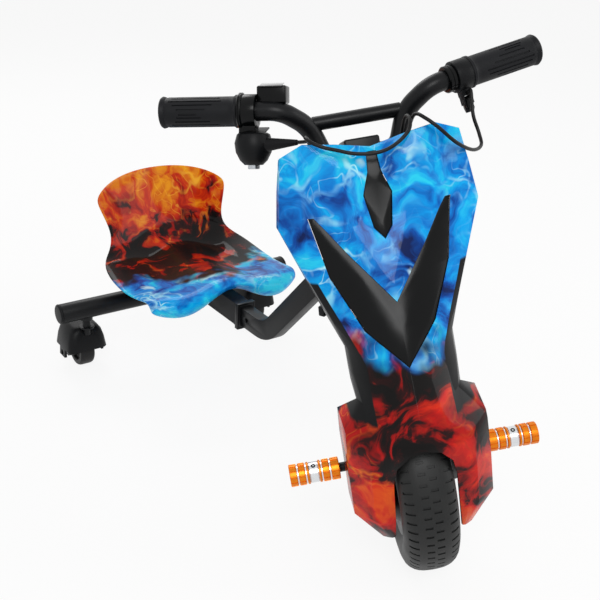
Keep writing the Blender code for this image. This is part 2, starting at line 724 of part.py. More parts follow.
# Half form of the seat: rows from the front lip to the top of its back, drawn for a beam at SEAT_DATUM
SEAT_ROWS = [
    ((0.000, 0.486, 0.198), (0.034, 0.490, 0.176), (0.070, 0.487, 0.157), (0.106, 0.490, 0.156), (0.136, 0.514, 0.162)),
    ((0.000, 0.473, 0.207), (0.034, 0.476, 0.191), (0.070, 0.468, 0.173), (0.108, 0.473, 0.173), (0.142, 0.500, 0.176)),
    ((0.000, 0.486, 0.215), (0.034, 0.488, 0.207), (0.070, 0.484, 0.194), (0.108, 0.490, 0.194), (0.142, 0.514, 0.190)),
    ((0.000, 0.522, 0.210), (0.034, 0.522, 0.199), (0.070, 0.522, 0.184), (0.110, 0.524, 0.190), (0.145, 0.530, 0.186)),
    ((0.000, 0.572, 0.201), (0.034, 0.572, 0.192), (0.070, 0.572, 0.175), (0.112, 0.574, 0.187), (0.149, 0.575, 0.178)),
    ((0.000, 0.632, 0.196), (0.034, 0.632, 0.189), (0.070, 0.632, 0.176), (0.110, 0.632, 0.192), (0.149, 0.632, 0.180)),
    ((0.000, 0.684, 0.195), (0.034, 0.684, 0.190), (0.068, 0.682, 0.183), (0.104, 0.678, 0.196), (0.143, 0.684, 0.192)),
    ((0.000, 0.716, 0.207), (0.031, 0.715, 0.206), (0.062, 0.711, 0.204), (0.092, 0.704, 0.208), (0.116, 0.702, 0.206)),
    ((0.000, 0.734, 0.232), (0.029, 0.733, 0.232), (0.057, 0.728, 0.232), (0.084, 0.720, 0.232), (0.107, 0.709, 0.230)),
    ((0.000, 0.746, 0.265), (0.031, 0.745, 0.265), (0.062, 0.740, 0.265), (0.092, 0.729, 0.264), (0.117, 0.716, 0.260)),
    ((0.000, 0.757, 0.298), (0.034, 0.756, 0.298), (0.068, 0.750, 0.297), (0.101, 0.739, 0.294), (0.127, 0.724, 0.286)),
    ((0.000, 0.764, 0.324), (0.033, 0.762, 0.323), (0.066, 0.756, 0.319), (0.098, 0.745, 0.311), (0.124, 0.730, 0.296)),
]


def half_surface(name, rows, look, carrier="frame"):
    """Open surface through rows of points on the +X side, mirrored about the middle plane."""
    bm = bmesh.new()
    grid = [[bm.verts.new(p) for p in row] for row in rows]
    for lower, upper in zip(grid, grid[1:]):
        for i in range(len(lower) - 1):
            corners = [lower[i], lower[i + 1], upper[i + 1], upper[i]]
            bm.faces.new(corners)
    bm.normal_update()
    mesh = bpy.data.meshes.new(name)
    bm.to_mesh(mesh)
    bm.free()
    obj = add_piece(name, mesh, look, carrier)
    mirror = obj.modifiers.new("other_side", "MIRROR")
    mirror.use_clip = True
    mirror.merge_threshold = 0.0001
    return obj


def thicken(obj, wall, offset):
    """Shell wall on one side of the surface, with fixed diagonals so that copies match."""
    facets = obj.modifiers.new("facets", "TRIANGULATE")
    facets.quad_method = "FIXED"
    solid = obj.modifiers.new("wall", "SOLIDIFY")
    solid.thickness = wall
    solid.offset = offset
    solid.use_even_offset = True
    return obj


def widen(obj, below, above):
    """Solid that fills a distance below and above a surface, for cutting a seat to its form."""
    whole = below + above
    return thicken(obj, whole, 1 - 2 * below / whole)


def make_seat():
    """Moulded bucket seat on its bracket over the outer beam."""
    seat = half_surface("seat_shell", SEAT_ROWS, BLUE_PRINT)
    seat.location.z = BEAM_HEIGHT - SEAT_DATUM
    smooth = seat.modifiers.new("soft_form", "SUBSURF")
    smooth.levels = 1
    smooth.render_levels = 1
    thicken(seat, SEAT_SHELL, -1)
    beam_top = BEAM_HEIGHT + OUTER_BEAM_HEIGHT / 2
    foot = beam_top + GAP
    bracket = add_box("seat_bracket", (SEAT_BRACKET_WIDTH, SEAT_BRACKET_LENGTH, SEAT_BRACKET_HEIGHT),
                      (0, SEAT_BRACKET_Y, foot + SEAT_BRACKET_HEIGHT / 2), BLACK_TUBE)
    room = half_surface("seat_room", SEAT_ROWS, None)
    room.location.z = BEAM_HEIGHT - SEAT_DATUM
    smooth = room.modifiers.new("soft_form", "SUBSURF")
    smooth.levels = 1
    smooth.render_levels = 1
    widen(room, SEAT_SHELL + GAP, SEAT_BRACKET_HEIGHT * 0.7)
    cut(bracket, room)
    under = BEAM_HEIGHT - OUTER_BEAM_HEIGHT / 2
    head = SEAT_BOLT_RADIUS * 1.9
    end = foot + SEAT_BOLT_RADIUS
    profile = [
        (0, end), (SEAT_BOLT_RADIUS, end), (SEAT_BOLT_RADIUS, under - GAP), (head, under - GAP),
        (head, under - GAP - SEAT_BOLT_RADIUS), (0, under - GAP - SEAT_BOLT_RADIUS),
    ]
    add_turned("seat_bolt", profile, (0, SEAT_BRACKET_Y, 0), "Z", STEEL, segments=12)
    hole = add_rod("seat_bolt_hole", SEAT_BOLT_RADIUS + GAP, 2 * (end - BEAM_HEIGHT) + 2 * GAP,
                   (0, SEAT_BRACKET_Y, BEAM_HEIGHT), "Z", None, segments=12)
    cut(bracket, hole)
    cut(bpy.data.objects["outer_beam"], hole)


# Half outline of the fairing: rows of inner edge, middle, crease, outer edge and rim, bottom to top
FAIRING_ROWS = [
    ((0.042, -0.086, 0.098), (0.046, -0.0835, 0.0955), (0.050, -0.080, 0.094), (0.056, -0.075, 0.093), (0.056, -0.036, 0.096)),
    ((0.040, -0.092, 0.131), (0.050, -0.090, 0.131), (0.064, -0.087, 0.131), (0.087, -0.068, 0.131), (0.088, -0.026, 0.131)),
    ((0.038, -0.098, 0.189), (0.050, -0.097, 0.189), (0.063, -0.094, 0.189), (0.087, -0.068, 0.189), (0.088, -0.024, 0.189)),
    ((0.033, -0.104, 0.215), (0.047, -0.101, 0.213), (0.062, -0.095, 0.211), (0.086, -0.068, 0.209), (0.088, -0.022, 0.207)),
    ((0.018, -0.113, 0.236), (0.040, -0.105, 0.233), (0.061, -0.094, 0.230), (0.0855, -0.068, 0.227), (0.088, -0.018, 0.224)),
    ((0.000, -0.117, 0.243), (0.036, -0.106, 0.242), (0.060, -0.092, 0.241), (0.085, -0.068, 0.240), (0.087, -0.014, 0.238)),
    ((0.000, -0.114, 0.252), (0.034, -0.102, 0.252), (0.057, -0.084, 0.252), (0.084, -0.066, 0.251), (0.086, -0.008, 0.250)),
    ((0.000, -0.096, 0.278), (0.027, -0.084, 0.278), (0.045, -0.066, 0.278), (0.058, -0.046, 0.276), (0.063, -0.034, 0.276)),
    ((0.000, -0.076, 0.304), (0.028, -0.062, 0.304), (0.046, -0.044, 0.304), (0.061, -0.026, 0.304), (0.065, -0.014, 0.304)),
    ((0.000, -0.058, 0.326), (0.029, -0.044, 0.326), (0.048, -0.027, 0.327), (0.062, -0.009, 0.328), (0.066, 0.003, 0.328)),
    ((0.000, -0.034, 0.360), (0.032, -0.026, 0.360), (0.056, -0.011, 0.360), (0.074, 0.006, 0.358), (0.078, 0.018, 0.356)),
    ((0.000, 0.000, 0.412), (0.038, 0.005, 0.412), (0.070, 0.017, 0.412), (0.097, 0.032, 0.412), (0.100, 0.044, 0.410)),
    ((0.000, 0.033, 0.466), (0.043, 0.037, 0.466), (0.084, 0.046, 0.466), (0.120, 0.058, 0.466), (0.122, 0.069, 0.466)),
    ((0.000, 0.054, 0.508), (0.041, 0.055, 0.510), (0.079, 0.059, 0.510), (0.113, 0.064, 0.508), (0.115, 0.075, 0.508)),
    ((0.000, 0.071, 0.546), (0.040, 0.068, 0.556), (0.078, 0.068, 0.562), (0.105, 0.070, 0.550), (0.107, 0.081, 0.552)),
]

# Half outlines in the side-height plane of the black panels let into the fairing
V_PANEL = [(0.000, 0.322), (0.042, 0.357), (0.071, 0.413), (0.085, 0.478), (0.078, 0.478), (0.045, 0.437), (0.000, 0.386)]
CENTRE_PANEL = [(0.000, 0.449), (0.011, 0.461), (0.017, 0.496), (0.008, 0.520), (0.006, 0.541), (0.000, 0.541)]


# Outline of the neck's side covers in the back-height plane
NECK_COVER = [
    (-0.060, 0.262), (-0.030, 0.330), (0.020, 0.400), (0.072, 0.405), (0.120, 0.405), (0.112, 0.372),
    (0.062, 0.262), (0.050, 0.250), (-0.040, 0.250),
]


def mirrored_outline(half):
    """Full outline from the +X half, whose first and last points lie on the middle plane."""
    return half + [(-u, v) for u, v in reversed(half[1:-1])]


def offset_outline(outline, inset):
    """Outline moved inwards by a small inset, corner by corner."""
    moved = []
    count = len(outline)
    area = sum(outline[i][0] * outline[(i + 1) % count][1] - outline[(i + 1) % count][0] * outline[i][1]
               for i in range(count))
    turn = 1.0 if area > 0 else -1.0
    for i, (u, v) in enumerate(outline):
        here = Vector((u, v))
        before = (here - Vector(outline[i - 1])).normalized()
        after = (Vector(outline[(i + 1) % count]) - here).normalized()
        normal = Vector((-before.y - after.y, before.x + after.x)) * turn
        normal.normalize()
        side = Vector((-before.y, before.x)) * turn
        moved.append(here + normal * (inset / max(normal.dot(side), 0.35)))
    return [(p.x, p.y) for p in moved]


def inlay_cutter(name, half_outline, inset):
    """Prism along Y whose section is a panel's outline."""
    outline = offset_outline(mirrored_outline(half_outline), inset)
    depth = 0.40
    return add_plate(name, outline, depth, (0, 0, 0), None, "straight", (math.pi / 2, 0, 0))


def make_fairing():
    """Front fairing with the wheel arch, and the two black panels let into it."""
    fairing = thicken(half_surface("fairing_shell", FAIRING_ROWS, BLUE_PRINT, "straight"), FAIRING_WALL, -1)
    for name, half_outline, look in (
        ("v_panel", V_PANEL, BLACK_GLOSS),
        ("centre_panel", CENTRE_PANEL, BLACK_PLASTIC),
    ):
        cut(fairing, inlay_cutter(name + "_opening", half_outline, 0.0))
        backing = [[Vector(p) + Vector((0, INLAY_SETBACK, 0)) for p in row] for row in FAIRING_ROWS[8:]]
        panel = thicken(half_surface(name, backing, look, "straight"), INLAY_WALL, -1)
        cut(panel, inlay_cutter(name + "_trim", half_outline, INLAY_GAP), "INTERSECT")


def fairing_room(name):
    """Cutter that clears the fairing and its panels with a small gap, and all that lies outside it."""
    room = half_surface(name, FAIRING_ROWS, None, "straight")
    return widen(room, INLAY_SETBACK + INLAY_WALL + GAP, 0.012)


def make_neck_covers():
    """Black side covers between the fairing's neck and the fork."""
    room = fairing_room("neck_cover_room")
    for side, name in ((-1, "right"), (1, "left")):
        cover = add_plate("neck_cover_" + name, NECK_COVER, NECK_COVER_PLATE, (side * NECK_COVER_SIDE, 0, 0),
                          BLACK_PLASTIC, "straight", (math.pi / 2, 0, math.pi / 2))
        cut(cover, room)


def make_fairing_bracket():
    """Plate from the stem clamp that carries the top of the fairing."""
    start = CLAMP_FORWARD + CLAMP_DEPTH / 2 + GAP
    end = BRACKET_REACH
    bracket = add_box("fairing_bracket", (BRACKET_WIDTH, end - start, BRACKET_PLATE),
                      steering_local(0, (start + end) / 2, BRACKET_ALONG), BLACK_TUBE, "steering")
    cut(bracket, fairing_room("bracket_room"))


def make_battery_bay():
    """Tray on the fork crown with the motor controller and the battery pack."""
    back = CROWN_DEPTH / 2 + GAP
    plate_middle = back + TRAY_PLATE / 2
    tray = add_box("battery_tray", (TRAY_WIDTH, TRAY_PLATE, TRAY_TOP - TRAY_FOOT),
                   steering_local(0, plate_middle, (TRAY_TOP + TRAY_FOOT) / 2), BLACK_TUBE, "steering")
    shelf = add_box("battery_shelf", (TRAY_WIDTH, BAY_DEPTH + TRAY_PLATE, TRAY_PLATE),
                    steering_local(0, back + (BAY_DEPTH + TRAY_PLATE) / 2, TRAY_FOOT + TRAY_PLATE / 2), None,
                    "steering")
    cut(tray, shelf, "UNION")
    front = back + TRAY_PLATE + GAP
    depth = BAY_DEPTH - GAP
    foot = TRAY_FOOT + TRAY_PLATE + GAP
    add_box("controller", (CONTROLLER_WIDTH, depth, CONTROLLER_HEIGHT),
            steering_local(0, front + depth / 2, foot + CONTROLLER_HEIGHT / 2), GREY_CASE, "steering", edge=0.002)
    battery = add_box("battery_pack", (BATTERY_WIDTH, depth, BATTERY_HEIGHT),
                      steering_local(0, front + depth / 2, BATTERY_FOOT + BATTERY_HEIGHT / 2), GREY_CASE, "steering",
                      edge=0.003)
    start, second = Vector(LEAD_ROUTE[0]), Vector(LEAD_ROUTE[1])
    outward = (second - start).normalized()
    outlet = add_rod("lead_outlet", LEAD_OUTLET_RADIUS, 0.012, start - outward * (0.006 + GAP),
                     outward.to_track_quat("Z", "Y").to_euler(), None, "straight", segments=12)
    cut(battery, outlet, "UNION")


def fork_leg_outline():
    """Outline of a fork leg as (back, along) with a broad foot for the axle and the peg."""
    ahead_along = [
        (0.020, FORK_TOP_ALONG), (0.028, 0.250), (0.046, 0.205), (PEG_AHEAD + 0.012, PEG_ALONG + 0.018),
        (PEG_AHEAD + 0.017, PEG_ALONG), (PEG_AHEAD + 0.010, PEG_ALONG - 0.015),
        (FORK_OFFSET + 0.016, AXLE_ALONG - 0.020), (FORK_OFFSET, AXLE_ALONG - 0.026),
        (FORK_OFFSET - 0.017, AXLE_ALONG - 0.019), (FORK_OFFSET - 0.026, AXLE_ALONG), (0.003, 0.200),
        (-0.016, 0.330), (-0.016, FORK_TOP_ALONG),
    ]
    return [(-ahead, along) for ahead, along in ahead_along]


def make_fork():
    """Crown plate, steerer and two legs."""
    add_box("fork_crown", (2 * FORK_OUTER, CROWN_DEPTH, CROWN_THICKNESS),
            (0, 0, FORK_TOP_ALONG + GAP + CROWN_THICKNESS / 2), BLACK_TUBE, "steering", edge=0.0015)
    foot = CROWN_TOP_ALONG + GAP
    add_turned("steerer_tube", pipe_profile(STEERER_RADIUS, STEERER_RADIUS - STEERER_WALL, foot, STEERER_TOP_ALONG),
               (0, 0, 0), "Z", STEEL, "steering", ring=True)
    axle_hole = add_rod("axle_hole", AXLE_RADIUS + GAP, FORK_OUTER * 3,
                        steering_local(0, FORK_OFFSET, AXLE_ALONG), "X", None, "steering", segments=20)
    peg_hole = add_rod("peg_bolt_hole", PEG_BOLT_RADIUS + GAP, FORK_OUTER * 3,
                       steering_local(0, PEG_AHEAD, PEG_ALONG), "X", None, "steering", segments=20)
    for side, name in ((-1, "right"), (1, "left")):
        middle = side * (FORK_INNER_WIDTH + FORK_PLATE) / 2
        leg = add_plate("fork_leg_" + name, fork_leg_outline(), FORK_PLATE, (middle, 0, 0), BLACK_TUBE,
                        "steering", (math.pi / 2, 0, math.pi / 2))
        cut(leg, axle_hole)
        cut(leg, peg_hole)


def make_axle():
    """Fixed front axle with a nut outside each fork leg."""
    centre = steering_local(0, FORK_OFFSET, AXLE_ALONG)
    half = FORK_OUTER + AXLE_THREAD_OUT
    add_rod("front_axle", AXLE_RADIUS, 2 * half, centre, "X", STEEL, "steering", segments=20, edge=0.0008)
    for side, name in ((-1, "right"), (1, "left")):
        place = centre + Vector((side * (FORK_OUTER + GAP + AXLE_NUT_HEIGHT / 2), 0, 0))
        nut = add_rod("axle_nut_" + name, AXLE_NUT_RADIUS, AXLE_NUT_HEIGHT, place, "X", STEEL, "steering", segments=6)
        cut(nut, add_rod("axle_nut_bore_" + name, AXLE_RADIUS + GAP, AXLE_NUT_HEIGHT * 2, place, "X", None,
                         "steering", segments=20))


def make_pegs():
    """Turned foot pegs on bolts through the feet of the fork."""
    for side, name in ((-1, "right"), (1, "left")):
        centre = steering_local(0, PEG_AHEAD, PEG_ALONG)
        facing = (0, side * math.pi / 2, 0)
        inner_face = FORK_INNER_WIDTH / 2 - GAP
        bolt_end = PEG_INNER + PEG_BORE_DEPTH - 0.002
        profile = [
            (0, bolt_end), (PEG_BOLT_RADIUS, bolt_end), (PEG_BOLT_RADIUS, inner_face),
            (PEG_BOLT_HEAD_RADIUS, inner_face), (PEG_BOLT_HEAD_RADIUS, inner_face - PEG_BOLT_HEAD),
            (0, inner_face - PEG_BOLT_HEAD),
        ]
        add_turned("peg_bolt_" + name, profile, centre, facing, BLACK_TUBE, "steering", segments=16)
        bore = PEG_BOLT_RADIUS + GAP
        profile = [
            (0, PEG_OUTER), (PEG_RADIUS - 0.001, PEG_OUTER), (PEG_RADIUS, PEG_OUTER - 0.001),
            (PEG_RADIUS, PEG_INNER + 0.001), (PEG_RADIUS - 0.001, PEG_INNER), (bore, PEG_INNER),
            (bore, PEG_INNER + PEG_BORE_DEPTH), (0, PEG_INNER + PEG_BORE_DEPTH),
        ]
        add_turned("foot_peg_" + name, profile, centre, facing, ORANGE_ALLOY, "steering")


def make_front_wheel():
    """Pneumatic tyre on the drum of the hub motor."""
    centre = steering_local(0, FORK_OFFSET, AXLE_ALONG)
    half = TYRE_WIDTH / 2
    outside = tyre_outside()
    inside = [
        (TYRE_BEAD_RADIUS, half * 0.58), (TYRE_RADIUS - 0.0260, half - TYRE_WALL),
        (TYRE_RADIUS - TYRE_WALL, 0.0),
    ]
    upper = list(reversed(outside))
    ring = upper + [(r, -h) for r, h in outside[1:]]
    ring += [(r, -h) for r, h in inside]
    ring += [(r, h) for r, h in reversed(inside[:-1])]
    add_turned("front_tyre", ring, centre, "X", RUBBER, "steering", segments=WHEEL_FACETS, ring=True)
    drum = TYRE_BEAD_RADIUS - GAP
    cover = HUB_HALF_WIDTH + HUB_COVER_STEP
    boss = FORK_INNER_WIDTH / 2 - 0.0012
    bore = AXLE_RADIUS + WHEEL_BORE_GAP
    half_profile = [
        (drum, HUB_HALF_WIDTH), (HUB_COVER_RADIUS + 0.008, HUB_HALF_WIDTH), (HUB_COVER_RADIUS, cover),
        (HUB_BOSS_RADIUS, cover), (HUB_BOSS_RADIUS * 0.8, boss), (bore, boss),
    ]
    ring = list(reversed(half_profile)) + [(r, -h) for r, h in half_profile]
    add_turned("hub_motor", ring, centre, "X", BLACK_TUBE, "steering", segments=WHEEL_FACETS, ring=True)


def bar_point(side, index):
    """Corner of the handlebar path on one side, in the steering empty's frame."""
    x, ahead, along = BAR_PATH[index]
    return steering_local(side * x, ahead, along)


def bar_line(side, inward):
    """Point on the straight end of the handlebar, a distance in from its tip."""
    tip = bar_point(side, 4)
    return tip + (bar_point(side, 3) - tip).normalized() * inward


def facing_outward(side):
    """Rotation that points a turned piece's Z axis outwards along the straight bar end."""
    return (bar_line(side, 0) - bar_line(side, 1)).to_track_quat("Z", "Y").to_euler()


def make_handlebar():
    """U-shaped bar with its cross-bar, clamped to the steerer."""
    corners = [bar_point(-1, i) for i in (4, 3, 2, 1)] + [bar_point(1, i) for i in (1, 2, 3, 4)]
    radii = list(reversed(BAR_BENDS)) + BAR_BENDS
    corners[0] = bar_line(-1, BAR_END_INSET)
    corners[-1] = bar_line(1, BAR_END_INSET)
    path = fillet_path(corners, radii, steps=4)
    as_mesh(add_tube("handlebar", path, BAR_RADIUS, BLACK_TUBE, "steering", sides=3))
    ends = [steering_local(side * CROSS_BAR_HALF, CROSS_BAR_AHEAD, CROSS_BAR_ALONG) for side in (-1, 1)]
    brace = as_mesh(add_tube("cross_bar", ends, CROSS_BAR_RADIUS, BLACK_TUBE, "steering", sides=3))
    cope = as_mesh(add_tube("cross_bar_cope", path, BAR_RADIUS + GAP, None, "steering", sides=3))
    cut(brace, cope)
    bar_foot = bar_point(1, 0)
    clamp_foot = HEAD_TUBE_TOP + 2 * GAP + CUP_HEIGHT
    clamp_top = STEERER_TOP_ALONG
    block = add_box("stem_clamp", (CLAMP_WIDTH, CLAMP_DEPTH, clamp_top - clamp_foot),
                    (0, -CLAMP_FORWARD, (clamp_top + clamp_foot) / 2), BLACK_TUBE, "steering", edge=0.002)
    cut(block, add_rod("steerer_bore", STEERER_RADIUS + GAP, 0.2, (0, 0, STEERER_TOP_ALONG), "Z", None, "steering"))
    cut(block, add_rod("bar_bore", BAR_RADIUS + GAP, 0.2, bar_foot, "X", None, "steering"))


def grip_profile(length, bore):
    """Ribbed grip with a flange at its inner end, closed over the bar's tip."""
    profile = [(0, length), (GRIP_RADIUS - 0.003, length), (GRIP_RADIUS, length - 0.003)]
    flange = 0.004
    span = length - 0.012 - flange
    for rib in range(GRIP_RIBS):
        top = length - 0.006 - span * rib / GRIP_RIBS
        bottom = length - 0.006 - span * (rib + 0.75) / GRIP_RIBS
        profile += [(GRIP_RADIUS, top), (GRIP_RADIUS, bottom)]
        profile += [(GRIP_RADIUS - GRIP_GROOVE, bottom - span * 0.125 / GRIP_RIBS)]
    profile += [(GRIP_RADIUS, flange + 0.003), (GRIP_FLANGE_RADIUS, flange), (GRIP_FLANGE_RADIUS, 0.0)]
    profile += [(bore, 0.0), (bore, length - BAR_END_INSET + GAP * 2), (0, length - BAR_END_INSET + GAP * 2)]
    return profile


def make_controls():
    """Grips, throttle with display and key switch, and the switch pod."""
    for side, name, clearance in ((-1, "throttle_grip", RUNNING_GAP), (1, "left_grip", GAP)):
        inner = bar_line(side, GRIP_LENGTH)
        profile = grip_profile(GRIP_LENGTH, BAR_RADIUS + clearance)
        add_turned(name, profile, inner, facing_outward(side), RUBBER, "steering", segments=16)
    make_throttle()
    make_switch_pod()


def bar_frame(side):
    """Directions at a straight bar end: outwards along the bar, upwards and backwards."""
    outward = (bar_line(side, 0) - bar_line(side, 1)).normalized()
    upward = (Vector((0, 0, 1)) - outward * outward.z).normalized()
    backward = upward.cross(outward) * side
    return outward, upward, backward


def frame_rotation(outward, upward):
    """Rotation whose Z axis points outwards along the bar and whose Y axis points up."""
    side_axis = upward.cross(outward)
    return Matrix((side_axis, upward, outward)).transposed().to_euler()


def key_body_top():
    """Middle of the key switch's upper face, under the throttle housing."""
    outward, upward, _ = bar_frame(-1)
    middle = bar_line(-1, GRIP_LENGTH + GAP + HOUSING_LENGTH / 2)
    return middle - upward * (HOUSING_DROP + GAP) - outward * KEY_SHIFT


def boot_root():
    """Point inside the key switch from which its cable boot grows, wheel straight ahead."""
    return STEERING_TILT @ (key_body_top() - bar_frame(-1)[1] * (KEY_BODY_DEPTH * 0.4))


def make_throttle():
    """Throttle housing with the display on top and the key switch hanging below."""
    outward, upward, backward = bar_frame(-1)
    turn = frame_rotation(outward, upward)
    middle = bar_line(-1, GRIP_LENGTH + GAP + HOUSING_LENGTH / 2)
    housing = add_rod("throttle_housing", HOUSING_RADIUS, HOUSING_LENGTH, middle, turn, BLACK_PLASTIC, "steering")
    neck = add_box("housing_neck", (HOUSING_DEPTH, HOUSING_DROP, HOUSING_LENGTH * 0.9),
                   middle - upward * (HOUSING_DROP / 2), None, "steering", turn)
    cut(housing, neck, "UNION")
    cut(housing, add_rod("housing_bore", BAR_RADIUS + GAP, HOUSING_LENGTH * 2, middle, turn, None, "steering"))
    inner_face = GRIP_LENGTH + GAP + HOUSING_LENGTH + GAP
    place = bar_line(-1, inner_face + DISPLAY_SIZE[2] / 2) + upward * DISPLAY_LIFT + backward * DISPLAY_BACK
    display = add_box("display_box", DISPLAY_SIZE, place, BLACK_PLASTIC, "steering", turn, edge=0.0015)
    cut(display, bpy.data.objects["cross_bar_cope"])
    top = key_body_top()
    depth = KEY_BODY_DEPTH
    seat = depth - KEY_BARREL_SEAT
    profile = [
        (0, 0), (KEY_BODY_RADIUS * 0.74, 0), (KEY_BODY_RADIUS * 0.87, -depth * 0.05),
        (KEY_BODY_RADIUS, -depth * 0.32), (KEY_BODY_RADIUS * 0.94, -depth * 0.60),
        (KEY_BODY_RADIUS * 0.72, -depth * 0.86), (KEY_BODY_RADIUS * 0.48, -depth),
        (KEY_BARREL_RADIUS + RUNNING_GAP, -depth), (KEY_BARREL_RADIUS + RUNNING_GAP, -seat), (0, -seat),
    ]
    hang = (-outward).cross(upward)
    level = Matrix((-outward, -hang, upward)).transposed().to_euler()
    body = add_turned("key_body", profile, top, level, BLACK_PLASTIC, "steering", segments=20)
    reach = BOOT_TIP - boot_root()
    length = reach.length - KEY_BODY_RADIUS / 2
    bm = bmesh.new()
    bmesh.ops.create_cone(bm, cap_ends=True, segments=12, radius1=BOOT_RADIUS, radius2=CABLE_RADIUS * 1.5,
                          depth=length)
    boot = add_piece("cable_boot", mesh_from(bm, "cable_boot"), None, "straight",
                     BOOT_TIP - reach.normalized() * (length / 2), reach.to_track_quat("Z", "Y").to_euler())
    cut(body, boot, "UNION")
    barrel_top = -seat - GAP
    barrel_end = -depth - KEY_BARREL_OUT
    profile = [(0, barrel_top), (KEY_BARREL_RADIUS, barrel_top), (KEY_BARREL_RADIUS, barrel_end + 0.001),
               (KEY_BARREL_RADIUS - 0.001, barrel_end), (0, barrel_end)]
    barrel = add_turned("key_barrel", profile, top, level, STEEL, "steering", segments=16)
    slot = add_box("key_slot", (0.0016, 0.007, 0.004), top + upward * barrel_end, None, "steering", level)
    cut(barrel, slot)


def make_switch_pod():
    """Clamp ring on the rider's left with a rocker under it."""
    outward, upward, _ = bar_frame(1)
    turn = frame_rotation(outward, upward)
    middle = bar_line(1, GRIP_LENGTH + GAP + POD_LENGTH / 2)
    pod = add_rod("switch_pod", POD_RADIUS, POD_LENGTH, middle, turn, BLACK_PLASTIC, "steering")
    neck = add_box("pod_neck", (POD_NECK, POD_DROP, POD_NECK), middle - upward * (POD_DROP / 2), None,
                   "steering", turn)
    cut(pod, neck, "UNION")
    cut(pod, add_rod("pod_bore", BAR_RADIUS + GAP, POD_LENGTH * 2, middle, turn, None, "steering"))
    pivot = middle - upward * (POD_DROP + GAP + ROCKER_RADIUS)
    cheek_drop = 2 * ROCKER_RADIUS
    for way in (-1, 1):
        place = pivot + outward * (way * (POD_NECK - POD_CHEEK) / 2) + upward * (cheek_drop / 4)
        cut(pod, add_box("pod_cheek", (cheek_drop * 0.8, cheek_drop * 1.1, POD_CHEEK), place, None, "steering", turn),
            "UNION")
    cut(pod, add_rod("rocker_pin_hole", ROCKER_PIN_RADIUS + RUNNING_GAP, POD_NECK * 2, pivot, turn, None,
                     "steering", segments=12))
    outline = [(ROCKER_RADIUS * math.cos(math.radians(a)), ROCKER_RADIUS * math.sin(math.radians(a)))
               for a in range(0, 181, 22)]
    outline += [(-ROCKER_RADIUS, -ROCKER_DROP * 0.7), (-ROCKER_RADIUS * 0.4, -ROCKER_DROP),
                (ROCKER_RADIUS * 0.6, -ROCKER_DROP), (ROCKER_RADIUS, -ROCKER_DROP * 0.55)]
    length = POD_NECK - 2 * POD_CHEEK - 2 * RUNNING_GAP
    rocker = add_plate("mode_rocker", outline, length, pivot, BLACK_PLASTIC, "steering", turn)
    cut(rocker, add_rod("rocker_pin", ROCKER_PIN_RADIUS, POD_NECK - GAP, pivot, turn, None, "steering", segments=12),
        "UNION")


# Cable routes with the wheel straight ahead, between the ends that follow from the controls and the battery
THROTTLE_ROUTE = [
    (-0.0710, 0.0930, 0.5590), (-0.0725, 0.0790, 0.5670), (-0.0735, 0.0670, 0.5710),
    (-0.0680, 0.0580, 0.5670), (-0.0560, 0.0520, 0.5610), (-0.0400, 0.0500, 0.5550), (-0.0230, 0.0480, 0.5490),
    (-0.0030, 0.0460, 0.5460), (0.0150, 0.0450, 0.5480), (0.0305, 0.0460, 0.5550), (0.0430, 0.0510, 0.5640),
    (0.0475, 0.0610, 0.5720), (0.0460, 0.0750, 0.5730), (0.0430, 0.0860, 0.5580), (0.0390, 0.0930, 0.5300),
]
SWITCH_ROUTE = [
    (0.1365, 0.1270, 0.5425), (0.1401, 0.1180, 0.5220), (0.1379, 0.1020, 0.5121),
    (0.1205, 0.0740, 0.5190), (0.0966, 0.0500, 0.5400), (0.0768, 0.0490, 0.5620), (0.0640, 0.0570, 0.5730),
    (0.0560, 0.0730, 0.5740), (0.0510, 0.0880, 0.5560), (0.0450, 0.0990, 0.5250),
]
LEAD_ROUTE = [
    (-0.0470, 0.0760, 0.4250), (-0.0600, 0.0700, 0.4235), (-0.0720, 0.0620, 0.4150), (-0.0790, 0.0560, 0.3980),
    (-0.0815, 0.0530, 0.3780), (-0.0825, 0.0520, 0.3600),
]


def battery_entry(ahead):
    """End of a cable above the battery's top face, and a point over it, wheel straight ahead."""
    top = BATTERY_FOOT + BATTERY_HEIGHT + GAP
    return [STEERING_TILT @ steering_local(CABLE_ENTRY_SIDE, ahead, top + lift) for lift in (0.016, GAP)]


def switch_exit():
    """Start of the switch cable at the front of the pod's neck, and the points before it."""
    _, upward, backward = bar_frame(1)
    middle = bar_line(1, GRIP_LENGTH + GAP + POD_LENGTH / 2) - upward * (POD_DROP - CABLE_RADIUS * 1.4)
    return [STEERING_TILT @ (middle - backward * (POD_NECK / 2 + reach)) for reach in (GAP, 0.004, 0.010)]


def make_cables():
    """Throttle and switch cables, and the short loose lead with its connector."""
    along_boot = (BOOT_TIP - boot_root()).normalized()
    start = [BOOT_TIP + along_boot * (2 * GAP), BOOT_TIP + along_boot * 0.009]
    throttle = start + THROTTLE_ROUTE + battery_entry(THROTTLE_ENTRY_AHEAD)
    switch = switch_exit() + SWITCH_ROUTE + battery_entry(SWITCH_ENTRY_AHEAD)
    for name, route, radius in (
        ("throttle_cable", throttle, CABLE_RADIUS),
        ("switch_cable", switch, CABLE_RADIUS),
        ("tail_lead", LEAD_ROUTE, LEAD_RADIUS),
    ):
        add_tube(name, smooth_path(route, 2), radius, BLACK_PLASTIC, "straight", sides=2)
    end, before = Vector(LEAD_ROUTE[-1]), Vector(LEAD_ROUTE[-2])
    down = (end - before).normalized()
    add_box("tail_connector", CONNECTOR_SIZE, end + down * (GAP + CONNECTOR_SIZE[2] / 2), BLACK_PLASTIC, "straight",
            down.to_track_quat("Z", "Y").to_euler(), edge=0.001)


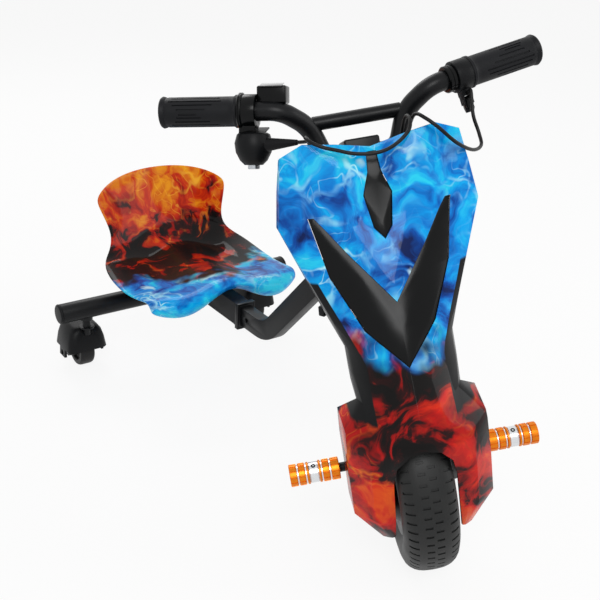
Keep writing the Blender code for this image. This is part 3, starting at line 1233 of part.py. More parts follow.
def put_origin_below():
    """Move the whole assembly so that the origin is at the middle of its underside."""
    bpy.context.view_layer.update()
    graph = bpy.context.evaluated_depsgraph_get()
    low = Vector((math.inf, math.inf, math.inf))
    high = -low
    for obj in PARTS.objects:
        if obj.type == "EMPTY":
            continue
        shape = obj.evaluated_get(graph)
        mesh = shape.to_mesh()
        for vertex in mesh.vertices:
            place = obj.matrix_world @ vertex.co
            low = Vector(map(min, low, place))
            high = Vector(map(max, high, place))
        shape.to_mesh_clear()
    TRICYCLE.location = (-(low.x + high.x) / 2, -(low.y + high.y) / 2, -low.z)
    bpy.context.view_layer.update()


make_front_frame()
make_outer_beam()
make_clamp_bolt()
make_cross_tube()
make_caster(-1, "right")
make_caster(1, "left")
make_seat()
make_fork()
make_axle()
make_pegs()
make_front_wheel()
make_handlebar()
make_controls()
make_fairing()
make_neck_covers()
make_fairing_bracket()
make_battery_bay()
make_cables()
put_origin_below()
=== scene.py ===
"""Looks of the electric tricycle: studio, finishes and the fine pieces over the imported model."""

import logging
import math
from collections.abc import Callable, Iterator, Sequence
from contextlib import contextmanager
from dataclasses import dataclass, replace
from enum import Enum
from functools import partial

import bmesh
import bpy
from mathutils import Matrix, Vector

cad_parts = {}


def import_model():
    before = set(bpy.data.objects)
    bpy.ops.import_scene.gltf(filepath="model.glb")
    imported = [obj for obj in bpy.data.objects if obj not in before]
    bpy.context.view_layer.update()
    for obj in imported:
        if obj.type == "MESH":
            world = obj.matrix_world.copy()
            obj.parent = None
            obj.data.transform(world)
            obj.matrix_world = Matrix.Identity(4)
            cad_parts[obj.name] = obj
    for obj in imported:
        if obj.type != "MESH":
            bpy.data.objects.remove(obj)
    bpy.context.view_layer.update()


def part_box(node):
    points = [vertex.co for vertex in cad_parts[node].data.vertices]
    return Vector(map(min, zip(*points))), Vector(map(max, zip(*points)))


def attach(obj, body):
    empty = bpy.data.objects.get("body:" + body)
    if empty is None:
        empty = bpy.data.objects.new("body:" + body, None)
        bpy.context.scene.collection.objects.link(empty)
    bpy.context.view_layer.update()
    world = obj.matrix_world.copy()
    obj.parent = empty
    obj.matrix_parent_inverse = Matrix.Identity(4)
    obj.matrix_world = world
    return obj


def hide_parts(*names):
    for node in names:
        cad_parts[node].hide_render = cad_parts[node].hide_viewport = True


LOG = logging.getLogger("electric_tricycle")
# Clearance that keeps a turned piece off its neighbour, in metres
GAP = 0.0003
# Values of a cloudy noise between which wear, gloss, veins and blots pass from least to most
WEAR_LOW, WEAR_HIGH = 0.42, 0.78
GLOSS_LOW, GLOSS_HIGH = 0.3, 0.7
VEINS_LOW, VEINS_HIGH = 0.46, 0.62
BLOT_SPAN = 0.08
# Size and reach of the push that bends the print's ground, in ground sizes, and its veins, in vein sizes
FLOW_SIZE, FLOW_REACH = 0.8, 0.45
CURL_SIZE, CURL_REACH = 1.3, 0.5
# Spacing and width of the print's fine and broad veins, as shares of the palette's
FINE_SPACING, FINE_WIDTH = 0.8, 0.4
BROAD_SPACING, BROAD_WIDTH = 1.4, 0.8
Triple = tuple[float, float, float]
Profile = Sequence[tuple[float, float]]
Obj = bpy.types.Object
Node = bpy.types.Node
Socket = bpy.types.NodeSocket
AddNode = Callable[[str, dict[str | int, object]], Node]
PickFace = Callable[[Vector, Vector], bool]


class Side(Enum):
    """Rider's side of a piece, as its sign along X."""

    RIGHT = -1
    LEFT = 1

    @property
    def word(self) -> str:
        """Side as it stands in the node names."""
        return self.name.lower()


@dataclass(frozen=True)
class SteeringFrame:
    """Tilted and turned frame in which the steering was drawn."""

    rake: float = math.radians(21.5)
    trail: float = 0.013
    turn: float = math.radians(-31.0)
    shift: Triple = (0.0, -0.325625, 0.0)

    def tilt(self) -> Matrix:
        """Steering axis in the drawing's frame, wheel straight ahead."""
        return Matrix.Translation((0.0, -self.trail, 0.0)) @ Matrix.Rotation(-self.rake, 4, "X")

    def local(self) -> Matrix:
        """Matrix from (side, -ahead, along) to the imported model's frame."""
        return Matrix.Translation(self.shift) @ self.tilt() @ Matrix.Rotation(self.turn, 4, "Z")

    def straight(self) -> Matrix:
        """Matrix from the straight-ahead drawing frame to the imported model's frame."""
        return self.local() @ self.tilt().inverted()

    def point(self, side: float, ahead: float, along: float) -> Vector:
        """Point given by its distances sideways, ahead of and along the steering axis."""
        return self.local() @ Vector((side, -ahead, along))

    def aligned(self, ahead: float, along: float, side: Side) -> Matrix:
        """Matrix of a turned piece on the middle plane whose Z axis points outwards like the axle."""
        turn = Matrix.Rotation(side.value * math.pi / 2, 4, "Y")
        return self.local() @ Matrix.Translation((0.0, -ahead, along)) @ turn


STEERING = SteeringFrame()


def linear(code: str) -> tuple[float, float, float, float]:
    """Turn an sRGB hex colour to linear light.

    Args:
        code: colour as six hex digits.

    Returns:
        Linear red, green, blue and an alpha of one.
    """
    parts = [int(code[i:i + 2], 16) / 255 for i in (0, 2, 4)]
    light = [p / 12.92 if p <= 0.04045 else ((p + 0.055) / 1.055) ** 2.4 for p in parts]
    return (light[0], light[1], light[2], 1.0)


def add_node(tree: bpy.types.NodeTree, kind: str, inputs: dict[str | int, object]) -> Node:
    """Add one node with its settings and links.

    Args:
        tree: node tree that gets the node.
        kind: Blender's name for the node type, from after "ShaderNode".
        inputs: properties by name and sockets by name or number, each with its value or the node
            or socket that feeds it, and colour stops under "stops".

    Returns:
        The new node.
    """
    node = tree.nodes.new("ShaderNode" + kind)
    for key, value in inputs.items():
        if key == "stops":
            ramp = node.color_ramp
            while len(ramp.elements) < len(value):
                ramp.elements.new(0.5)
            for element, (place, code) in zip(ramp.elements, value):
                element.position = place
                element.color = linear(code)
        elif isinstance(value, Node):
            tree.links.new(value.outputs[0], node.inputs[key])
        elif isinstance(value, Socket):
            tree.links.new(value, node.inputs[key])
        elif isinstance(key, str) and hasattr(node, key):
            setattr(node, key, value)
        else:
            node.inputs[key].default_value = value
    return node


def empty_tree(owner: bpy.types.Material | bpy.types.World) -> AddNode:
    """Empty the node tree of a material or a world.

    Args:
        owner: what the tree belongs to.

    Returns:
        The function that adds a node to the tree.
    """
    owner.use_nodes = True
    owner.node_tree.nodes.clear()
    return partial(add_node, owner.node_tree)


@dataclass(frozen=True)
class Finish:
    """Surface of one real material, with its fine texture in metres."""

    name: str
    slot: str
    colour: str
    worn_colour: str
    roughness: float
    metallic: float = 0.0
    coat: float = 0.0
    grain: float = 0.0012
    relief: float = 0.00003
    patch: float = 0.045
    patch_share: float = 0.35
    gloss_spread: float = 0.06
    specular: float = 0.5

    def material(self) -> bpy.types.Material:
        """Build the material, or return it if it has been built.

        Returns:
            The finish as a node material.
        """
        found = bpy.data.materials.get(self.name)
        if found is not None:
            return found
        material = bpy.data.materials.new(self.name)
        add = empty_tree(material)
        place = add("TexCoord", {}).outputs["Object"]
        fine = add("TexNoise", {"Scale": 1 / self.grain, "Detail": 3.0, "Vector": place})
        broad = add("TexNoise", {"Scale": 1 / self.patch, "Detail": 4.0, "Vector": place})
        worn = add("MapRange", {0: broad, 1: WEAR_LOW, 2: WEAR_HIGH, 3: 0.0, 4: self.patch_share})
        tint = add("Mix", {"data_type": "RGBA", 0: worn, 6: linear(self.colour), 7: linear(self.worn_colour)})
        gloss = add("MapRange", {0: broad, 1: GLOSS_LOW, 2: GLOSS_HIGH, 4: self.roughness + self.gloss_spread,
                                 3: max(self.roughness - self.gloss_spread, 0.02)})
        bump = add("Bump", {"Strength": 1.0, "Distance": self.relief, "Height": fine})
        shader = add("BsdfPrincipled", {
            "Base Color": tint.outputs[2], "Roughness": gloss, "Normal": bump, "Metallic": self.metallic,
            "Specular IOR Level": self.specular, "Coat Weight": self.coat, "Coat Roughness": 0.05})
        add("OutputMaterial", {"Surface": shader})
        return material


# Grains of moulds, rubber and metal are about 0.1 to 0.5 mm across, too fine to show in the picture, so they
# are drawn 0.6 to 2 mm across. Orange peel, waves in a gloss and creases have about their real size.

# Polyester powder coat on steel tube: black, half gloss, with a shallow orange peel
POWDER_COAT = Finish("powder_coated_steel", "black_steel", "101113", "1A1B1D", 0.36, grain=0.0022,
                     relief=0.00006, specular=0.18)
# ABS from a spark-eroded mould: a dull even black whose fine grain scatters the light
GRAINED_ABS = Finish("grained_moulded_abs", "black_plastic", "0B0C0E", "151618", 0.42, grain=0.0011,
                     relief=0.00005, specular=0.15)
# ABS from a polished mould: deep black with a soft mirror of the lamps
POLISHED_ABS = Finish("polished_moulded_abs", "black_plastic", "050607", "0B0C0D", 0.20, grain=0.006,
                      relief=0.00001, specular=0.16)
# Inside of the printed shells: bare black ABS, dull and a little dusty
BARE_ABS = Finish("bare_moulded_abs", "printed_shell", "0B0C0D", "151617", 0.55, grain=0.0016,
                  relief=0.00004, specular=0.25)
# Natural rubber filled with carbon black: dull, dark grey where the road has scuffed it
TYRE_RUBBER = Finish("carbon_black_rubber", "tyre", "131414", "262625", 0.50, grain=0.0009, relief=0.00008,
                     patch=0.03, patch_share=0.5, specular=0.32)
# Soft moulded grip rubber: dull black that turns a little grey on its ribs
GRIP_RUBBER = Finish("moulded_grip_rubber", "grip_rubber", "0E0F12", "1A1B1F", 0.50, grain=0.0007,
                     relief=0.00005, specular=0.18)
# Cast polyurethane caster tyre: black, smoother than rubber, with a little floor dust
CASTER_URETHANE = Finish("cast_urethane", "caster_wheel", "111112", "262524", 0.5, grain=0.002,
                         relief=0.00004, patch=0.012, specular=0.25)
# Bright zinc plate on steel: cool grey metal with a faint cloudiness
ZINC_PLATE = Finish("zinc_plated_steel", "plain_steel", "B9BDC2", "8E9298", 0.3, 1.0, grain=0.0008,
                    relief=0.00002, patch=0.01)
# Turned aluminium alloy: bright, with fine tool marks round the bar
TURNED_ALLOY = Finish("turned_aluminium", "orange_alloy", "DCDEE0", "B4B7BA", 0.24, 1.0, grain=0.0006,
                      relief=0.00004, patch=0.008)
# Orange anodised aluminium: metal that takes its colour from the dyed oxide layer
ORANGE_ANODISE = Finish("orange_anodised_aluminium", "orange_alloy", "E27E0E", "C65F05", 0.34, 0.75,
                        grain=0.0007, relief=0.00004, patch=0.008)
# Die-cast aluminium case of the controller: pale grey, pebbled by the mould
CAST_ALUMINIUM = Finish("die_cast_aluminium", "grey_case", "9EA1A4", "7D8083", 0.48, 0.9, grain=0.0016,
                        relief=0.00008)
# Heat-shrunk PVC sleeve round the battery cells: dark blue-grey, tight and slightly glossy
SHRINK_SLEEVE = Finish("shrunk_pvc_sleeve", "grey_case", "20242B", "2E343D", 0.32, grain=0.009,
                       relief=0.0004, patch=0.03)
# Extruded PVC cable sheath: black with a low sheen along it
CABLE_SHEATH = Finish("extruded_pvc_sheath", "black_plastic", "0C0C0D", "161617", 0.38, grain=0.0006,
                      relief=0.00002, specular=0.2)
# Clear acrylic window over a dark display: black and mirror smooth
DISPLAY_WINDOW = Finish("smoked_acrylic", "black_gloss", "07080A", "0B0D10", 0.06, coat=1.0, grain=0.02,
                        relief=0.000005, gloss_spread=0.01)


@dataclass(frozen=True)
class PrintPalette:
    """Colours of a water-transfer print, from the dark ground to the light veins."""

    ground: tuple[tuple[float, str], ...]
    veins: str
    blots: str
    vein_size: float
    ground_size: float
    vein_width: float
    vein_share: float
    blot_start: float
    lean: tuple[float, float, float, float]


# Blue marbling: azure ground with deep blue hollows, cyan drifts, soft pale veins and few white clouds
BLUE_MARBLE = PrintPalette(
    ground=((0.36, "011B52"), (0.43, "00469C"), (0.50, "0078D0"), (0.58, "00A2EA"), (0.68, "28D0F2")),
    veins="B8F2FB", blots="D6F6F5", vein_size=0.042, ground_size=0.064, vein_width=0.060, vein_share=0.90,
    blot_start=0.66, lean=(0.390, 0.530, -0.02, 0.09),
)
# The same marbling on the seat, painted lighter all over and a little more towards the top, as painted light from
# above
SEAT_BLUE_MARBLE = replace(BLUE_MARBLE, lean=(0.100, 0.300, 0.07, 0.09))
# Red marbling on the fairing: soot-dark ground with large red swirls that turn orange towards the floor
RED_MARBLE = PrintPalette(
    ground=((0.46, "060303"), (0.505, "2A0506"), (0.55, "9A0A0A"), (0.64, "CE1A0E"), (0.77, "E4580C")),
    veins="FF9A24", blots="0C0808", vein_size=0.050, ground_size=0.080, vein_width=0.050, vein_share=0.50,
    blot_start=0.62, lean=(0.290, 0.110, -0.02, 0.12),
)
# Ember marbling on the seat: nearly black on its floor, red and then amber up the back
EMBER_MARBLE = PrintPalette(
    ground=((0.45, "080505"), (0.50, "2C0706"), (0.545, "9A0F05"), (0.64, "CE3006"), (0.79, "F09A14")),
    veins="FFC53C", blots="100A0A", vein_size=0.044, ground_size=0.060, vein_width=0.050, vein_share=0.45,
    blot_start=0.68, lean=(0.195, 0.305, -0.06, 0.20),
)


@dataclass(frozen=True)
class Marbling:
    """Marbled print whose zones follow the height over the floor."""

    add: AddNode
    place: Node

    def warped(self, size: float, amount: float) -> Node:
        """Push the coordinates about so that the pattern flows.

        Args:
            size: distance over which the push changes, in metres.
            amount: largest push, in metres.

        Returns:
            The node of the pushed coordinates.
        """
        push = self.add("TexNoise", {"Scale": 1 / size, "Detail": 2.0, "Vector": self.place}).outputs["Color"]
        centred = self.add("VectorMath", {"operation": "SUBTRACT", 0: push, 1: (0.5, 0.5, 0.5)})
        scaled = self.add("VectorMath", {"operation": "SCALE", 0: centred, "Scale": amount * 2})
        return self.add("VectorMath", {"operation": "ADD", 0: self.place, 1: scaled})

    def filaments(self, place: Node, size: float, width: float) -> Node:
        """Thin curling lines where a cloudy field passes its middle value.

        Args:
            place: coordinates that carry the lines.
            size: spacing of the lines in metres.
            width: share of the field's range that a line covers.

        Returns:
            The node of the lines' strength.
        """
        cloud = self.add("TexNoise", {"Scale": 1 / size, "Detail": 1.5, "Distortion": 0.5, "Vector": place})
        offset = self.add("Math", {"operation": "SUBTRACT", 0: cloud, 1: 0.5})
        distance = self.add("Math", {"operation": "ABSOLUTE", 0: offset})
        return self.add("MapRange", {"interpolation_type": "SMOOTHSTEP", 0: distance, 2: width, 3: 1.0, 4: 0.0})

    def layer(self, palette: PrintPalette) -> Socket:
        """Lay one palette's ground and veins.

        Args:
            palette: colours and sizes of the print.

        Returns:
            The layer's colour.
        """
        add = self.add
        ground_size, vein_size, width = palette.ground_size, palette.vein_size, palette.vein_width
        flow = self.warped(ground_size * FLOW_SIZE, ground_size * FLOW_REACH)
        cloud = add("TexNoise", {"Scale": 1 / ground_size, "Detail": 5.0, "Roughness": 0.55, "Distortion": 0.9,
                                 "Vector": flow})
        height = add("SeparateXYZ", {0: self.place}).outputs["Z"]
        lean = add("MapRange", {0: height} | dict(enumerate(palette.lean, 1)))
        leaning = add("Math", {"operation": "ADD", 0: cloud, 1: lean})
        ground = add("ValToRGB", {"stops": palette.ground, 0: leaning})
        curl = self.warped(vein_size * CURL_SIZE, vein_size * CURL_REACH)
        fine = self.filaments(curl, vein_size * FINE_SPACING, width * FINE_WIDTH)
        broad = self.filaments(flow, vein_size * BROAD_SPACING, width * BROAD_WIDTH)
        both = add("Math", {"operation": "MAXIMUM", 0: fine, 1: broad})
        drift = add("TexNoise", {"Scale": 0.7 / ground_size, "Detail": 3.0, "Vector": flow})
        area = add("MapRange", {0: drift, 1: VEINS_LOW, 2: VEINS_HIGH, 3: 0.04, 4: palette.vein_share})
        lit = add("MapRange", {0: leaning, 1: palette.ground[1][0], 2: palette.ground[3][0]})
        kept = add("Math", {"operation": "MULTIPLY", 0: area, 1: lit})
        cover = add("Math", {"operation": "MULTIPLY", 0: both, 1: kept})
        veined = add("Mix", {"data_type": "RGBA", 0: cover, 6: ground, 7: linear(palette.veins)})
        spots = add("TexNoise", {"Scale": 1 / (vein_size * 1.1), "Detail": 3.0, "Vector": curl})
        start = palette.blot_start
        blot = add("MapRange", {0: spots, 1: start, 2: start + BLOT_SPAN, 3: 0.0, 4: 0.75})
        return add("Mix", {"data_type": "RGBA", 0: blot, 6: veined.outputs[2],
                           7: linear(palette.blots)}).outputs[2]

    def zone(self, low: float, high: float, weights: Triple, ragged: float = 0.05) -> Node:
        """Share that grows from none to one with a sum of distances, along a ragged line.

        Args:
            low: sum at which the share starts.
            high: sum at which it reaches one.
            weights: weight of the distance from the middle plane, of the length and of the height.
            ragged: how far the line wanders, in metres.

        Returns:
            The node of the share.
        """
        halves = self.add("VectorMath", {"operation": "ABSOLUTE", 0: self.warped(0.05, ragged)})
        total = self.add("VectorMath", {"operation": "DOT_PRODUCT", 0: halves, 1: weights}).outputs["Value"]
        return self.add("MapRange", {"interpolation_type": "SMOOTHSTEP", 0: total, 1: low, 2: high})


@dataclass(frozen=True)
class PrintedShellFinish:
    """Water-transfer print on ABS under clear lacquer: colour in depth below a wet gloss."""

    name: str
    slot: str
    upright: Matrix
    change: tuple[float, float, Triple]
    upper: PrintPalette
    lower: PrintPalette
    flanks: tuple[tuple[float, float, Triple], ...] = ()
    flank_colour: str = "0A0B0D"
    peel: float = 0.006
    peel_relief: float = 0.00005

    def material(self) -> bpy.types.Material:
        """Build the printed and lacquered material.

        Returns:
            The finish as a node material.
        """
        material = bpy.data.materials.new(self.name)
        add = empty_tree(material)
        place = add("TexCoord", {}).outputs["Object"]
        turned = add("Mapping", {"Location": self.upright.to_translation(),
                                 "Rotation": self.upright.to_euler("XYZ"), "Vector": place})
        marbling = Marbling(add, turned)
        colour = add("Mix", {"data_type": "RGBA", 0: marbling.zone(*self.change), 6: marbling.layer(self.lower),
                             7: marbling.layer(self.upper)}).outputs[2]
        bare: Node | float = 1.0
        for low, high, weights in self.flanks:
            within = marbling.zone(low, high, weights, 0.0)
            bare = add("Math", {"operation": "MULTIPLY", 0: bare, 1: within})
        if self.flanks:
            colour = add("Mix", {"data_type": "RGBA", 0: bare, 6: colour,
                                 7: linear(self.flank_colour)}).outputs[2]
        peel = add("TexNoise", {"Scale": 1 / self.peel, "Detail": 1.0, "Vector": place})
        bump = add("Bump", {"Strength": 1.0, "Distance": self.peel_relief, "Height": peel})
        shader = add("BsdfPrincipled", {
            "Base Color": colour, "Normal": bump, "Roughness": 0.45, "Specular IOR Level": 0.05,
            "Coat Weight": 0.45, "Coat IOR": 1.32, "Coat Roughness": 0.05})
        add("OutputMaterial", {"Surface": shader})
        return material


# The neck's side walls stay unprinted: beyond a line that runs in with the shield, between two heights
NECK_FLANKS = (
    (-0.0960, -0.0950, (1.0, 0.0, -0.446)),
    (0.0460, 0.0470, (1.0, 0.0, 0.0)),
    (-0.4080, -0.4040, (0.0, 0.0, -1.0)),
    (0.2600, 0.2640, (0.0, 0.0, 1.0)),
)
# Fairing of ABS: blue marbling over red, wet under its lacquer, with black side walls at the neck
FAIRING_PRINT = PrintedShellFinish("printed_fairing_abs", "printed_shell", STEERING.straight().inverted(),
                                   (0.320, 0.346, (0.0, 0.0, 1.0)), BLUE_MARBLE, RED_MARBLE, NECK_FLANKS)
# Seat of polypropylene: embers on the floor and the back, blue marbling towards the rider's knees
SEAT_PRINT = PrintedShellFinish("printed_seat_polypropylene", "printed_seat", Matrix.Identity(4),
                                (0.375, 0.405, (-0.6, 1.0, 1.0)), EMBER_MARBLE, SEAT_BLUE_MARBLE)


def deselect() -> None:
    """Leave nothing selected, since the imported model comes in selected."""
    if bpy.context.mode != "OBJECT":
        bpy.ops.object.mode_set(mode="OBJECT")
    bpy.ops.object.select_all(action="DESELECT")


def take_up(obj: Obj) -> None:
    """Make one object the selected and active one.

    Args:
        obj: the object.
    """
    deselect()
    obj.select_set(True)
    bpy.context.view_layer.objects.active = obj


@contextmanager
def editing(obj: Obj) -> Iterator[None]:
    """Edit one object's mesh, with all of it selected.

    Args:
        obj: the object.

    Yields:
        Nothing, in edit mode.
    """
    take_up(obj)
    bpy.ops.object.mode_set(mode="EDIT")
    bpy.ops.mesh.select_mode(type="VERT")
    bpy.ops.mesh.select_all(action="SELECT")
    yield
    bpy.ops.object.mode_set(mode="OBJECT")


def sink(obj: Obj, wanted: PickFace, *insets: tuple[float, float]) -> None:
    """Inset some faces of a mesh, once or more.

    Args:
        obj: the piece.
        wanted: whether a face is inset, by its middle and normal.
        insets: thickness and depth of each inset in turn.
    """
    with editing(obj):
        bpy.ops.mesh.select_mode(type="FACE")
        bpy.ops.mesh.select_all(action="DESELECT")
        bm = bmesh.from_edit_mesh(obj.data)
        for face in bm.faces:
            if wanted(face.calc_center_median(), face.normal):
                face.select_set(True)
        bmesh.update_edit_mesh(obj.data)
        for thickness, depth in insets:
            bpy.ops.mesh.inset(thickness=thickness, depth=depth, use_individual=False)


def finish_mesh(obj: Obj, kind: str, settings: dict[str, object]) -> None:
    """Give an object one modifier and apply it.

    Args:
        obj: the piece.
        kind: Blender's name for the modifier type.
        settings: the modifier's properties.
    """
    modifier = obj.modifiers.new("shape", kind)
    for key, value in settings.items():
        setattr(modifier, key, value)
    take_up(obj)
    bpy.ops.object.modifier_apply(modifier=modifier.name)


def soften(obj: Obj, width: float, angle: float = 32.0) -> None:
    """Round an object's edges that are sharper than an angle in degrees, to a width in metres."""
    finish_mesh(obj, "BEVEL", {"width": width, "segments": 2, "limit_method": "ANGLE",
                               "angle_limit": math.radians(angle), "use_clamp_overlap": True})


def settle(obj: Obj, matrix: Matrix) -> Obj:
    """Bake a place into the mesh of an object that stays at the origin."""
    obj.data.transform(matrix)
    return obj


def facing(origin: Vector, direction: Vector) -> Matrix:
    """Matrix that points a turned piece's Z axis along a direction."""
    return Matrix.Translation(origin) @ direction.to_track_quat("Z", "Y").to_matrix().to_4x4()


def new_object(name: str, data: bpy.types.ID) -> Obj:
    """Put new data into the scene.

    Args:
        name: name of the new object.
        data: its curve, light, camera or mesh.

    Returns:
        The object, at the origin.
    """
    obj = bpy.data.objects.new(name, data)
    bpy.context.scene.collection.objects.link(obj)
    return obj


def mirrored(half: Profile) -> list[tuple[float, float]]:
    """Section and its mirror image below it, sharing a corner at height nought."""
    return list(reversed(half)) + [(radius, -height) for radius, height in half if height > 0]


def lathe(name: str, profile: Profile, segments: int, ring: bool = False) -> Obj:
    """Spin a half section about the Z axis.

    Args:
        name: name of the new object.
        profile: radius and height of each corner of the section, in order.
        segments: facets round the axis.
        ring: whether the section closes on itself.

    Returns:
        The turned object.
    """
    deselect()
    bpy.ops.mesh.primitive_plane_add(size=0.01)
    obj = bpy.context.object
    obj.name = name
    corners = [*profile, profile[0]] if ring else profile
    with editing(obj):
        bpy.ops.mesh.merge(type="CENTER")
        bpy.ops.transform.translate(value=(profile[0][0], 0.0, profile[0][1]))
        for before, after in zip(corners, corners[1:]):
            step = (after[0] - before[0], 0.0, after[1] - before[1])
            bpy.ops.mesh.extrude_vertices_move(TRANSFORM_OT_translate={"value": step})
        bpy.ops.mesh.select_all(action="SELECT")
        bpy.ops.mesh.remove_doubles(threshold=0.000001)
        bpy.ops.mesh.spin(steps=segments, angle=math.tau, center=(0, 0, 0), axis=(0, 0, 1))
        bpy.ops.mesh.select_all(action="SELECT")
        bpy.ops.mesh.remove_doubles(threshold=0.000004)
        bpy.ops.mesh.normals_make_consistent(inside=False)
    return obj


def sweep(name: str, path: Sequence[Vector], radius: float, solid: bool = False) -> Obj:
    """Round tube along a path.

    Args:
        name: name of the new object.
        path: points of the centre line.
        radius: radius of the tube.
        solid: whether the curve becomes a finer closed mesh.

    Returns:
        The tube.
    """
    curve = bpy.data.curves.new(name, "CURVE")
    curve.dimensions = "3D"
    curve.bevel_depth = radius
    curve.bevel_resolution = 10 if solid else 4
    curve.use_fill_caps = True
    spline = curve.splines.new("POLY")
    spline.points.add(len(path) - 1)
    for point, place in zip(spline.points, path):
        point.co = (*place, 1.0)
    obj = new_object(name, curve)
    if solid:
        take_up(obj)
        bpy.ops.object.convert(target="MESH")
        obj = bpy.context.object
        with editing(obj):
            bpy.ops.mesh.remove_doubles(threshold=0.000005)
            bpy.ops.mesh.normals_make_consistent(inside=False)
    return obj


def block(name: str, size: Triple, rounding: float) -> Obj:
    """Cube primitive at a size, with rounded edges.

    Args:
        name: name of the new object.
        size: lengths along X, Y and Z.
        rounding: width of the rounded edges.

    Returns:
        The block, centred on the origin.
    """
    deselect()
    bpy.ops.mesh.primitive_cube_add(size=1.0)
    obj = bpy.context.object
    obj.name = name
    with editing(obj):
        bpy.ops.transform.resize(value=size)
        bpy.ops.mesh.bevel(offset=rounding, segments=3, affect="EDGES")
    return obj


def copied(source: Obj, name: str) -> Obj:
    """Copy an object with a mesh of its own.

    Args:
        source: the object.
        name: name of the copy.

    Returns:
        The copy.
    """
    obj = source.copy()
    obj.data = source.data.copy()
    obj.name = name
    bpy.context.scene.collection.objects.link(obj)
    return obj


def carried(node: str, name: str, rounding: float = 0.0, dissolve: float = 1.0) -> Obj:
    """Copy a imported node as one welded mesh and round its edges.

    Args:
        node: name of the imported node.
        name: name of the new object.
        rounding: width of the rounded edges, or none.
        dissolve: angle in degrees up to which flat neighbours become one face.

    Returns:
        The copy.
    """
    obj = copied(bpy.data.objects[node], name)
    obj.data.materials.clear()
    obj.hide_render = False
    with editing(obj):
        bpy.ops.mesh.remove_doubles(threshold=0.00002)
        if dissolve > 0:
            bpy.ops.mesh.dissolve_limited(angle_limit=math.radians(dissolve))
    if rounding > 0:
        soften(obj, rounding)
    return obj


def dress(obj: Obj, finish: Finish | PrintedShellFinish, nodes: Sequence[str] = (), body: str = "steering",
          angle: float = 35.0) -> Obj:
    """Shade a piece, give it its finish and tie it to its body.

    Args:
        obj: the finished piece.
        finish: its surface.
        nodes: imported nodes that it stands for.
        body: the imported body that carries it.
        angle: edges sharper than this stay sharp, in degrees.

    Returns:
        The piece.
    """
    if obj.type == "MESH":
        take_up(obj)
        bpy.ops.object.shade_smooth_by_angle(angle=math.radians(angle))
    obj.data.materials.append(finish.material())
    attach(obj, body)
    if nodes:
        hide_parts(*nodes)
    LOG.info("%s rides on %s in %s", obj.name, body, finish.name)
    return obj


def carry(body: str, rows: Sequence[tuple[str, str, float, Finish]],
          angle: float = 35.0) -> None:
    """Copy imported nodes, round their edges and dress them.

    Args:
        body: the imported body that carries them.
        rows: node, name, width of the rounded edges and finish. A node whose name ends in an
            underscore stands for a left and a right one.
        angle: edges sharper than this stay sharp, in degrees.
    """
    for node, name, rounding, finish in rows:
        for word in ("left", "right") if node.endswith("_") else ("",):
            dress(carried(node + word, name + word, rounding), finish, [node + word], body, angle)


def smooth_path(points: Sequence[Triple], steps: int) -> list[Vector]:
    """Curve through the given points.

    Args:
        points: knots of the curve.
        steps: points for each knot.

    Returns:
        The curve's points.
    """
    knots = [Vector(p) for p in points]
    knots = [2 * knots[0] - knots[1]] + knots + [2 * knots[-1] - knots[-2]]
    path = []
    for a, b, c, d in zip(knots, knots[1:], knots[2:], knots[3:]):
        for step in range(steps):
            t = step / steps
            path.append(0.5 * (2 * b + (c - a) * t + (2 * a - 5 * b + 4 * c - d) * t ** 2
                               + (3 * b - a - 3 * c + d) * t ** 3))
    return path + [knots[-2]]


def fillet_path(points: Sequence[Vector], radii: Sequence[float], steps: int = 12) -> list[Vector]:
    """Polyline whose inner corners become arcs.

    Args:
        points: corners of the line.
        radii: radius at each inner corner.
        steps: parts of each arc.

    Returns:
        The rounded line.
    """
    path = [Vector(points[0])]
    for before, corner, after, radius in zip(points, points[1:], points[2:], radii):
        back = (before - corner).normalized()
        forth = (after - corner).normalized()
        half = back.angle(forth) / 2
        reach = radius / math.tan(half)
        centre = corner + (back + forth).normalized() * (radius / math.sin(half))
        start = corner + back * reach - centre
        end = corner + forth * reach - centre
        swing = start.angle(end)
        for step in range(steps + 1):
            share = step / steps
            mixed = start * math.sin((1 - share) * swing) + end * math.sin(share * swing)
            path.append(centre + mixed / math.sin(swing))
    return path + [Vector(points[-1])]


